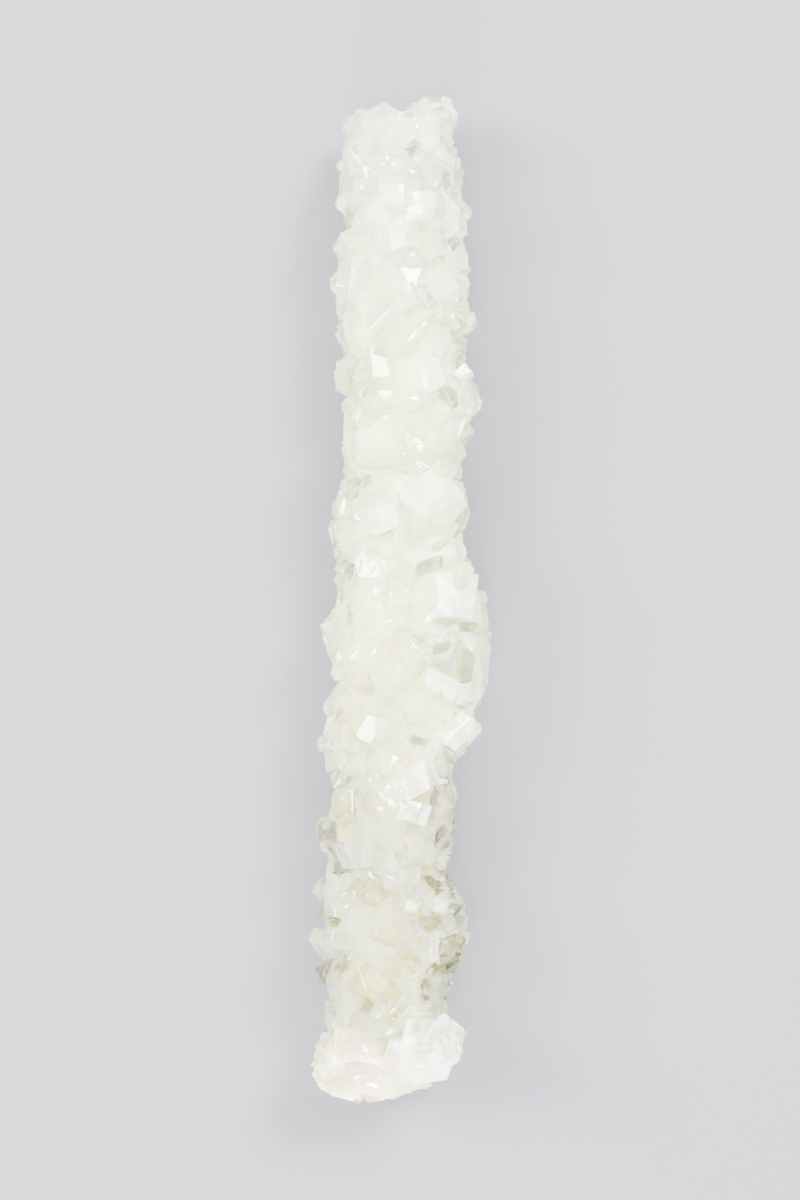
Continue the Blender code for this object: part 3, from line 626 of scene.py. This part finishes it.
def outline_tips(chance):
    """A small pointed crystal at every corner that stands out of the outline."""
    corners = [Vector((x * MM, distance * MM)) for x, distance in OUTLINE]
    count = len(corners)
    for number, corner in enumerate(corners):
        before, after = corners[number - 1] - corner, corners[(number + 1) % count] - corner
        if before.cross(after) > LEAST_CORNER or corner.y < SPLIT_END:
            continue
        out = -(before.normalized() + after.normalized())
        if out.length < 0.05:
            out = Vector((-after.y, after.x)) * -1
        out = out.normalized()
        width = min(max(0.8 * min(before.length, after.length), TIP_WIDTHS[0]), TIP_WIDTHS[1])
        length = width * chance.uniform(1.7, 2.4)
        way = Vector((out.x, out.y, chance.uniform(-0.35, 0.45))).normalized()
        ends = [(chance.uniform(18, 42), chance.uniform(40, 60), chance.uniform(-40, 40))] * 2
        cuts = [chance.uniform(0.85, 1.05) for _ in range(4)]
        block = habit_points(length, width, width * chance.uniform(0.6, 0.9), ends, cuts)
        points = turned(block, way, chance.uniform(0, math.pi))
        far = max(points, key=lambda point: point.dot(way))
        shift = Vector((corner.x, corner.y, chance.uniform(*TIP_HEIGHTS) * MM)) - far
        yield [point + shift for point in points]


def held_in(points):
    """The crystal moved sideways until hardly a corner of it is past the outline."""
    start = np.array(OUTLINE) * MM
    side = np.roll(start, -1, axis=0) - start
    for _ in range(3):
        flat = np.array([point[:2] for point in points])[:, None, :]
        share = ((flat - start) * side).sum(axis=2) / (side * side).sum(axis=1)
        nearest = start + np.clip(share, 0, 1)[:, :, None] * side
        gaps = np.linalg.norm(flat - nearest, axis=2)
        crossing = (start[:, 1] > flat[..., 1]) != (start[:, 1] + side[:, 1] > flat[..., 1])
        rise = np.where(side[:, 1] == 0, 1, side[:, 1])
        right = flat[..., 0] < start[:, 0] + side[:, 0] * (flat[..., 1] - start[:, 1]) / rise
        outside = (crossing & right).sum(axis=1) % 2 == 0
        past = np.where(outside, gaps.min(axis=1), 0)
        worst = int(past.argmax())
        if past[worst] < PAST_OUTLINE:
            break
        move = nearest[worst, gaps[worst].argmin()] - flat[worst, 0]
        points = [point + Vector((move[0], move[1], 0.0)) for point in points]
    return points


def in_scoop(point):
    """Whether the point is in the hollow of the broken end, or hardly outside it."""
    centre, half = SCOOP
    return sum(((p - c) / (h + SCOOP_MARGIN)) ** 2 for p, c, h in zip(point, centre, half)) < 1


def is_smooth(point):
    """Whether the point is on the smooth side."""
    return all(low < value < high for value, (low, high) in zip(point, SMOOTH_SIDE))


def rest_crystals():
    """Point sets of the blocks that it lies on."""
    rest_depth = bpy.context.scene.crystal_sizes.rest_depth
    for number, row in enumerate(REST_CRYSTALS):
        x, distance, length, width = metres(row)
        lean = math.radians(7 if number % 2 else -6)
        way = Vector((math.sin(lean), math.sin(-lean), -math.cos(lean))).normalized()
        block = habit_points(length, width, width * 0.9, [(8, 12, 5)] * 2, [0.95] * 4)
        points = turned(block, way, math.radians(24 * number))
        shift = Vector((x, distance, length * 0.5 - rest_depth - SUNK))
        yield [point + shift for point in points]


def core_mesh(shrink, sides=16, spacing=4 * MM, uneven=0.6 * MM):
    """The dense middle as a closed, uneven loft, drawn in by shrink."""
    chance = random.Random(CORE_SEED)
    first, last = metres((CORE_STATIONS[0][0], CORE_STATIONS[-1][0]))
    count = round((last - first) / spacing)
    mesh = bpy.data.meshes.new("core")
    with changing(mesh) as built:
        rings = []
        for number in range(count + 1):
            ring = []
            for side in range(sides):
                angle = 2 * math.pi * (side + 0.5 * (number % 2)) / sides
                skin, out = core_point(first + (last - first) * number / count, angle)
                ring.append(built.verts.new(skin - out * (shrink + chance.uniform(-uneven, uneven))))
            rings.append(ring)
        for lower, upper in zip(rings, rings[1:]):
            for side in range(sides):
                after = (side + 1) % sides
                built.faces.new((lower[side], lower[after], upper[after], upper[side]))
        built.faces.new(rings[0])
        built.faces.new(rings[-1])
        bmesh.ops.triangulate(built, faces=built.faces)
        bmesh.ops.recalc_face_normals(built, faces=built.faces)
    return mesh


def drop_pockets(mesh):
    """Removes the skins of sealed pockets, so that what is left is one closed body."""
    with changing(mesh) as built:
        left = set(built.faces)
        skins = []
        while left:
            skin = {left.pop()}
            front = list(skin)
            while front:
                for edge in front.pop().edges:
                    near = left.intersection(edge.link_faces)
                    left -= near
                    skin |= near
                    front.extend(near)
            skins.append(skin)
        skins.sort(key=len)
        for skin in skins[:-1]:
            bmesh.ops.delete(built, geom=list(skin), context="FACES")
        bmesh.ops.delete(built, geom=[v for v in built.verts if not v.link_faces], context="VERTS")


def first_crystals(chance):
    """The crystals that fix the stick's shape: corners, cut of the edges, and a chance value for each."""
    kinds = (
        (outline_crystals(chance), 0.14 * MM),
        (rest_crystals(), 0.10 * MM),
        (cover_crystals(chance, 6.6 * MM, 10, (6.5 * MM, 11.5 * MM), (0.8 * MM, 3.0 * MM)), 0.14 * MM),
        (cover_crystals(chance, 4.6 * MM, 12, (4.5 * MM, 8.0 * MM), (0.4 * MM, 2.0 * MM), 0.7), 0.10 * MM),
        (outline_tips(chance), 0.08 * MM),
    )
    return [(held_in(points), edge, chance.random()) for point_sets, edge in kinds for points in point_sets]


def later_crystals(ground, chance, count, size, stands_out, edge, patchy):
    """Smaller crystals that sit on the stick as grown so far, more of them in some patches than in others."""
    tree = ray_tree(ground)
    length = bpy.context.scene.crystal_sizes.length
    golden = math.pi * (3 - math.sqrt(5))
    made = []
    for number in range(count):
        along = length * (number + chance.random()) / count
        angle = number * golden + chance.uniform(-0.4, 0.4)
        out = Vector((math.cos(angle), 0.0, math.sin(angle)))
        start = Vector((0.0, along, 0.0)) + out * BESIDE_STICK
        if chance.random() < END_SHARE:
            end = chance.choice((-1, 1))
            reach = chance.uniform(0, END_REACH)
            out = Vector((0.0, end, 0.0))
            start = Vector((reach * math.cos(angle), MIDDLE + end * PAST_ENDS, reach * math.sin(angle)))
        hit, normal, _, _ = tree.ray_cast(start, -out)
        big = chance.uniform(*size)
        stands = chance.uniform(*stands_out)
        tilt = math.radians(chance.uniform(5, 60))
        around, spin = chance.uniform(0, 2 * math.pi), chance.uniform(0, 2 * math.pi)
        ends, cuts = habit(chance)
        width, thickness = big * chance.uniform(0.5, 0.8), big * chance.uniform(0.4, 0.65)
        value = chance.random()
        bare = noise.noise(hit / GROWTH_PATCH) < patchy * (chance.random() - 0.15) if hit else True
        if bare or in_scoop(hit) or is_smooth(hit) and chance.random() < SMOOTH_SHARE:
            continue
        way = (normal + out * 0.8).normalized()
        aside = (Matrix.Rotation(around, 3, way) @ way.orthogonal()).normalized()
        direction = (Matrix.Rotation(tilt, 3, aside) @ way).normalized()
        points = turned(habit_points(big, width, thickness, ends, cuts), direction, spin)
        reach = max(point.dot(way) for point in points)
        points = held_in([point + hit + way * (stands - reach) for point in points])
        made.append((points, edge, value))
    return made


def drawn_in(points):
    """Corners of a crystal's cloudy inside: the crystal shrunk towards its root, so that its tip is clear."""
    middle = sum(points, Vector()) / len(points)
    left, right, _ = core_at(middle.y)
    axis = Vector(((right - left) / 2, min(max(middle.y, AXIS_ENDS[0]), AXIS_ENDS[1]), 0.0))
    aside = min(abs(middle.x - axis.x) / HALF_WIDTH, 1.0)
    clearer = float(np.interp(middle.y, CLEARER, (0, 1, 1, 0)))
    root = middle.lerp(axis, ROOT + 0.08 * clearer)
    share = INSIDE - 0.10 * aside - 0.08 * clearer
    return [root + (point - root) * share for point in points]


def helper_collection(sets):
    """A collection of closed helper crystals: corners, cut of the edges and face value of each."""
    helpers = bpy.data.collections.new("helpers")
    bpy.context.scene.collection.children.link(helpers)
    for number, (points, edge, value) in enumerate(sets):
        helpers.objects.link(crystal_object(f"crystal_{number}", points, edge, value))
    return helpers


def linked(name, mesh):
    """A new object in the scene that shows the mesh."""
    made = bpy.data.objects.new(name, mesh)
    bpy.context.scene.collection.objects.link(made)
    return made


def applied(thing):
    """The object's mesh with its modifiers applied. The object goes."""
    graph = bpy.context.evaluated_depsgraph_get()
    mesh = bpy.data.meshes.new_from_object(thing.evaluated_get(graph))
    if not mesh.polygons:
        raise RuntimeError(f"Nothing is left of {thing.name}")
    bpy.data.objects.remove(thing)
    return mesh


def combine(mesh, helpers, operation):
    """The mesh with the helpers' shapes added or cut away, as one closed body. The helpers go."""
    stick = linked("stick", mesh)
    change = stick.modifiers.new("change", "BOOLEAN")
    change.operation = operation
    change.operand_type = "COLLECTION"
    change.collection = helpers
    change.solver = "MANIFOLD"
    changed = applied(stick)
    for helper in list(helpers.objects):
        bpy.data.objects.remove(helper)
    bpy.data.collections.remove(helpers)
    drop_pockets(changed)
    return changed


def rest_cutter(level):
    """A flat slab that cuts the underside level."""
    bpy.ops.mesh.primitive_cube_add(size=1.0)
    slab = bpy.context.object
    slab.scale = SLAB
    slab.location = (0.0, MIDDLE, level - SLAB[2] / 2)
    return slab


def split_cutter(wider=0.0):
    """The hollow that a split leaves in the broken end."""
    centre, half = SCOOP
    bpy.ops.mesh.primitive_uv_sphere_add(segments=26, ring_count=13, radius=1.0)
    ball = bpy.context.object
    ball.scale = [radius + wider for radius in half]
    ball.location = centre
    return ball


def cut_away(mesh, cutters):
    """The mesh with the cutters' shapes cut away. The cutters go."""
    helpers = helper_collection([])
    for cutter in cutters:
        for held in list(cutter.users_collection):
            held.objects.unlink(cutter)
        helpers.objects.link(cutter)
    return combine(mesh, helpers, "DIFFERENCE")


def size_of(points):
    """About how large a crystal is."""
    middle = sum(points, Vector()) / len(points)
    return 2 * max((point - middle).length for point in points)


def melted(mesh, helpers):
    """The mesh and the helpers' shapes run into one closed mesh of small cells. The helpers go."""
    with changing(mesh) as built:
        for helper in list(helpers.objects):
            built.from_mesh(helper.data)
            bpy.data.objects.remove(helper)
    bpy.data.collections.remove(helpers)
    block = linked("melted", mesh)
    remesh = block.modifiers.new("remesh", "REMESH")
    remesh.mode = "VOXEL"
    remesh.voxel_size = CELL
    cells = applied(block)
    drop_pockets(cells)
    return cells


def softened(mesh):
    """The hard edges of the cloudy inside turned into the soft edge of a cloud."""
    cloud = linked("cloud", mesh)
    smooth = cloud.modifiers.new("smooth", "SMOOTH")
    smooth.iterations = 4
    smooth.factor = 0.5
    soft = applied(cloud)
    # Two cells that meet at a corner of only two edges lie on each other, and become one
    with changing(soft) as built:
        bmesh.ops.dissolve_verts(built, verts=[v for v in built.verts if len(v.link_edges) == 2])
    return soft


def fit_shift(mesh):
    """How far to move the stick from its axis to its place in the frame."""
    corners = [vertex.co for vertex in mesh.vertices]
    low = Vector(min(corner[axis] for corner in corners) for axis in range(3))
    high = Vector(max(corner[axis] for corner in corners) for axis in range(3))
    box_low, box_high = CAD_BOX
    middle = (box_low + box_high) / 2
    return Vector((middle.x - (low.x + high.x) / 2, middle.y - (low.y + high.y) / 2, box_low.z - low.z))


def grown_stick(sizes):
    """The stick as it grew about its own axis, which is the same each time for the same sizes.

    Gives its skin, its surface before the crevices opened, and the crystals that it is made of: corners, cut
    of the edges and value of each.
    """
    chance = random.Random(sizes.seed)
    crystals = first_crystals(chance)
    stick = combine(core_mesh(UNDER_SKIN), helper_collection(crystals), "UNION")
    stick = cut_away(stick, [split_cutter()])
    tree = ray_tree(stick)
    last = list(placed_crystals(chance, END_CRYSTALS + SHOWN_CRYSTALS))
    last += [*edge_crystals(tree, chance), *fan_crystals(tree, chance)]
    for growth in LATER:
        crystals += last
        stick = combine(stick, helper_collection(last), "UNION")
        last = later_crystals(stick, chance, *growth)
    crystals += last
    stick = combine(stick, helper_collection(last), "UNION")
    tree = ray_tree(stick)
    skin = combine(stick, helper_collection(crevices(tree, SKIN_CREVICES)), "DIFFERENCE")
    return cut_away(skin, [rest_cutter(-sizes.rest_depth)]), tree, crystals


def set_inputs(tree, node, inputs):
    """Fills a node's inputs: a socket is linked, and a number or colour is set."""
    for name, value in inputs.items():
        if isinstance(value, bpy.types.NodeSocket):
            tree.links.new(value, node.inputs[name])
        else:
            node.inputs[name].default_value = value


def add_node(tree, kind, inputs=(), output=0, **settings):
    """Adds a node with its settings and its inputs, by name or in order, and gives one of its outputs."""
    node = tree.nodes.new("ShaderNode" + kind)
    for name, value in settings.items():
        setattr(node, name, value)
    set_inputs(tree, node, inputs if isinstance(inputs, dict) else dict(enumerate(inputs)))
    return node.outputs[output]


def material_of(name):
    """A new material with its node tree, shader and output."""
    material = bpy.data.materials.new(name)
    material.use_nodes = True
    tree = material.node_tree
    return material, tree, tree.nodes["Principled BSDF"], tree.nodes["Material Output"]


def along_stick(tree, place, stops):
    """A colour that changes along the stick, through stops of a share of its length and a colour."""
    along = add_node(tree, "SeparateXYZ", (place,), "Y")
    share = add_node(tree, "MapRange", (along, CAD_BOX[0].y, CAD_BOX[1].y, 0, 1))
    ramp = add_node(tree, "ValToRGB", (share,))
    elements = ramp.node.color_ramp.elements
    while len(elements) < len(stops):
        elements.new(0.5)
    for element, (position, colour) in zip(elements, stops):
        element.position = position
        element.color = colour
    return ramp


def along_colour(tree, place):
    """The sugar's colour along the stick: greyer near the broken end, creamy halfway, whiter at the other."""
    looks = bpy.context.scene.sugar_looks
    return along_stick(tree, place, (
        (0.045, looks.end), (0.085, looks.broken), (0.29, looks.broken), (0.38, looks.middle),
        (0.72, looks.middle), (0.93, looks.grown),
    ))


def along_clearness(tree, place):
    """How clear the crystals are along the stick: clouded at the split end, clearest just above it."""
    stops = ((0.055, 0.0), (0.10, 0.87), (0.30, 0.84), (0.40, 0.68), (0.95, 0.57))
    grey = along_stick(tree, place, [(position, (clear, clear, clear, 1.0)) for position, clear in stops])
    return add_node(tree, "MapRange", (grey, 0, 1, -0.75, 0.30))


def patchy_colour(tree, place, syrup, milk):
    """The colour along the stick, in patches from syrupy to milky, lighter towards +X as painted light on the
    side that the key light falls on.
    """
    patches = add_node(tree, "TexNoise", {"Vector": place, "Scale": 1 / MILK_PATCH, "Detail": 3.0})
    across = add_node(tree, "SeparateXYZ", (place,), "X")
    # Painted light: the patches turn whiter towards +X, where the key light falls
    lean = add_node(tree, "MapRange", (across, -9 * MM, 9 * MM, -0.06, 0.06))
    patches_with_lit_side = add_node(tree, "Math", (patches, lean), operation="ADD", use_clamp=True)
    dense = add_node(tree, "MapRange", (patches_with_lit_side, 0.36, 0.64, 0, 1))
    sugar = add_node(tree, "Mix", {FACTOR: dense, FIRST: syrup, SECOND: milk}, MIXED, **IN_COLOUR)
    return add_node(
        tree, "Mix", {FACTOR: 1.0, FIRST: sugar, SECOND: along_colour(tree, place)}, MIXED,
        blend_type="MULTIPLY", **IN_COLOUR,
    )


def crevice_shaded(tree, colour):
    """The colour, darker on the walls of a crevice, as painted shade."""
    value = add_node(tree, "Attribute", (), "Fac", attribute_name="crystal")
    # A crystal's faces hold at most 1 there, and a crevice's walls CREVICE_VALUE
    # Painted shade: the walls of a crevice are darkened towards this colour
    wall = add_node(tree, "MapRange", (value, 1.2, 1.8, 0, 1))
    crevice_shade = bpy.context.scene.sugar_looks.crevice_shade
    return add_node(tree, "Mix", {FACTOR: wall, FIRST: colour, SECOND: crevice_shade}, MIXED, **IN_COLOUR)


def clear_sugar():
    """Sucrose crystallised from syrup: glossy facets that bend light, some crystals clear, some clouded."""
    looks = bpy.context.scene.sugar_looks
    material, tree, surface, output = material_of("sucrose_grown_crystal")
    place = add_node(tree, "TexCoord", (), "Object")
    # Clearness differs from crystal to crystal, is greatest near the broken end, and is lost in small clouds
    crystal = add_node(tree, "Attribute", (), "Fac", attribute_name="crystal")
    own = add_node(tree, "MapRange", (crystal, -1, 1, 0.0, 1.0))
    clouds = add_node(tree, "TexNoise", {"Vector": place, "Scale": 1 / CLOUD_SIZE, "Detail": 3.0})
    clouding = add_node(tree, "MapRange", (clouds, 0.3, 0.7, -0.30, 0.15))
    unclouded = add_node(tree, "Math", (own, along_clearness(tree, place)), operation="ADD")
    clearness = add_node(tree, "Math", (unclouded, clouding), operation="ADD", use_clamp=True)
    # The cloudy ones have the sugar's tint, each a little lighter or darker
    grain = add_node(tree, "Attribute", (), "Vector", attribute_name="grain")
    lot = add_node(tree, "TexNoise", {"Vector": grain, "Scale": GRAIN_LOTS})
    bright = add_node(tree, "MapRange", (lot, 0.35, 0.65, 0, 1))
    tone = add_node(tree, "Mix", {FACTOR: bright, FIRST: looks.dim, SECOND: WHITE}, MIXED, **IN_COLOUR)
    tinted = add_node(
        tree, "Mix", {FACTOR: 1.0, FIRST: patchy_colour(tree, place, looks.dim, WHITE), SECOND: tone},
        MIXED, blend_type="MULTIPLY", **IN_COLOUR,
    )
    # Those full of bubbles are white where the bubbles crowd, and the clear ones have hardly any tint
    mottling = add_node(tree, "TexNoise", {"Vector": place, "Scale": 1 / MOTTLE_SIZE, "Detail": 1.0})
    crowd = add_node(tree, "MapRange", (mottling, 0.38, 0.62, 0.25, 1.0))
    full = add_node(tree, "MapRange", (crystal, -0.2, -0.9, 0, 1))
    bubbly = add_node(tree, "Math", (full, crowd), operation="MULTIPLY")
    cloudy = add_node(tree, "Mix", {FACTOR: bubbly, FIRST: tinted, SECOND: looks.bubbles}, MIXED, **IN_COLOUR)
    sugar = add_node(tree, "Mix", {FACTOR: clearness, FIRST: cloudy, SECOND: looks.glass}, MIXED, **IN_COLOUR)
    # Growth steps, about a millimetre apart, run across each crystal
    level = add_node(tree, "VectorMath", (place, grain), "Value", operation="DOT_PRODUCT")
    along = {"W": level, "Scale": 1 / STEP_SPACING, "Detail": 3.0}
    steps = add_node(tree, "TexNoise", along, noise_dimensions="1D")
    stepped = add_node(tree, "Bump", {"Strength": 0.6, "Distance": 0.2 * MM, "Height": steps})
    # Damp air has made the facets a little uneven, so that their shine is broken up
    pitted = {"Strength": 0.6, "Distance": 0.3 * MM, "Height": mottling, "Normal": stepped}
    uneven = add_node(tree, "Bump", pitted)
    # It has also etched some of them a little dull
    dull = add_node(tree, "MapRange", (clouds, 0.45, 0.75, 0.03, 0.22))
    # The base colour holds painted shade on the walls of crevices
    set_inputs(tree, surface, {
        "Base Color": crevice_shaded(tree, sugar), "Transmission Weight": clearness, "Roughness": dull,
        "Normal": uneven, "IOR": SUCROSE_IOR,
    })
    # Part of the light passes straight on to the cloudy inside, and the rest is held back as a soft shadow
    shadow = add_node(tree, "LightPath", (), "Is Shadow Ray")
    passing = add_node(tree, "MapRange", (shadow, 0, 1, 0, 0.6))
    through = add_node(tree, "BsdfTransparent")
    both = add_node(tree, "MixShader", (passing, surface.outputs["BSDF"], through))
    set_inputs(tree, output, {"Surface": both})
    return material


def milky_sugar():
    """The cloudy inside of the crystals, full of fine syrup bubbles: it scatters light and shows no gloss."""
    looks = bpy.context.scene.sugar_looks
    material, tree, surface, _ = material_of("sucrose_milky_inside")
    place = add_node(tree, "TexCoord", (), "Object")
    # The base colour holds painted shade on the walls of crevices
    set_inputs(tree, surface, {
        "Base Color": crevice_shaded(tree, patchy_colour(tree, place, looks.syrup, looks.milk)),
        "Roughness": 0.5, "Specular IOR Level": 0.2, "IOR": 1.2,
        "Subsurface Weight": 1.0, "Subsurface Radius": (1.0, 1.0, 0.85), "Subsurface Scale": 2.0 * MM,
    })
    return material


def sweep_paper():
    """Matt paper: it shows soft shadows and no shine."""
    material, tree, surface, _ = material_of("matt_paper_sweep")
    set_inputs(tree, surface, {"Base Color": bpy.context.scene.stage_looks.floor, "Roughness": 0.9})
    return material


def finished(piece, sugar, skin):
    """Puts a piece in its place in the frame, which the skin gives, with its sugar on it."""
    piece.data.transform(Matrix.Translation(fit_shift(skin)))
    piece.data.materials.clear()
    piece.data.materials.append(sugar)
    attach(piece, "root")


class CANDY_OT_grown_crystals(bpy.types.Operator):
    """Grow the clear and clouded crystals that cover the stick"""

    bl_idname = "candy.grown_crystals"
    bl_label = "Grow Crystals"

    def execute(self, context):
        skin, _, _ = grown_stick(context.scene.crystal_sizes)
        piece = linked("grown_crystals", skin)
        skin.shade_flat()
        finished(piece, clear_sugar(), skin)
        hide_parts(NODE)
        return {"FINISHED"}


class CANDY_OT_milky_heart(bpy.types.Operator):
    """Fill the crystals with their cloudy inside"""

    bl_idname = "candy.milky_heart"
    bl_label = "Fill With Milky Heart"

    def execute(self, context):
        sizes = context.scene.crystal_sizes
        skin, tree, crystals = grown_stick(sizes)
        insides = [
            (drawn_in(points), 0.0, value) for points, _, value in crystals if size_of(points) > CLEAR_BELOW
        ]
        heart = melted(core_mesh(IN_HEART), helper_collection(insides))
        heart = combine(heart, helper_collection(crevices(tree, HEART_CREVICES)), "DIFFERENCE")
        heart = cut_away(heart, [rest_cutter(-sizes.rest_depth + OFF_FLOOR), split_cutter(OFF_SCOOP)])
        piece = linked("milky_heart", softened(heart))
        piece.data.shade_smooth()
        finished(piece, milky_sugar(), skin)
        return {"FINISHED"}


def softbox(name, place, size, power):
    """A rectangular light that faces the middle of the floor."""
    light = bpy.data.lights.new(name, "AREA")
    light.shape = "RECTANGLE"
    light.size, light.size_y = size
    light.energy = power
    light.color = WHITE[:3]
    lamp = bpy.data.objects.new(name, light)
    lamp.location = place
    lamp.rotation_euler = (-Vector(place)).to_track_quat("-Z", "Y").to_euler()
    bpy.context.scene.collection.objects.link(lamp)


class CANDY_OT_stage(bpy.types.Operator):
    """Lay the floor and set the soft light and the camera"""

    bl_idname = "candy.stage"
    bl_label = "Stage"

    def execute(self, context):
        looks = context.scene.stage_looks
        bpy.ops.mesh.primitive_plane_add(size=FLOOR_SIZE, location=(0.0, 0.0, -FLOOR_GAP))
        floor = context.object
        floor.name = "floor"
        floor.data.materials.append(sweep_paper())
        for row in SOFTBOXES:
            softbox(*row)
        world = bpy.data.worlds.new("studio")
        context.scene.world = world
        world.use_nodes = True
        tree = world.node_tree
        set_inputs(tree, tree.nodes["Background"], {"Color": looks.room, "Strength": looks.room_strength})
        camera = bpy.data.cameras.new("camera")
        camera.lens = looks.lens
        camera.sensor_width = SENSOR_WIDTH
        eye = bpy.data.objects.new("camera", camera)
        eye.location = (0.0, 0.0, looks.camera_height)
        context.scene.collection.objects.link(eye)
        context.scene.camera = eye
        return {"FINISHED"}


class CANDY_PT_panel(bpy.types.Panel):
    """Lists the stick's sizes, colours and operators"""

    bl_idname = "CANDY_PT_panel"
    bl_label = "Rock Candy"
    bl_space_type = "VIEW_3D"
    bl_region_type = "UI"
    bl_category = "Rock Candy"

    def draw(self, context):
        for name, group in GROUPS.items():
            for setting in group.__annotations__:
                self.layout.prop(getattr(context.scene, name), setting)
        for operator in OPERATORS:
            self.layout.operator(operator.bl_idname)


GROUPS = {"crystal_sizes": CrystalSizes, "sugar_looks": SugarLooks, "stage_looks": StageLooks}
OPERATORS = (CANDY_OT_grown_crystals, CANDY_OT_milky_heart, CANDY_OT_stage)
CLASSES = (*GROUPS.values(), *OPERATORS, CANDY_PT_panel)


def register():
    """Makes the settings, the operators and the panel known."""
    for made in CLASSES:
        bpy.utils.register_class(made)
    for name, group in GROUPS.items():
        setattr(bpy.types.Scene, name, PointerProperty(type=group))


def unregister():
    """Takes them away again."""
    for name in GROUPS:
        delattr(bpy.types.Scene, name)
    for made in reversed(CLASSES):
        bpy.utils.unregister_class(made)


def main():
    """Builds the stage and the stick."""
    register()
    bpy.ops.candy.stage()
    bpy.ops.candy.grown_crystals()
    bpy.ops.candy.milky_heart()


if __name__ == "__main__":
    main()
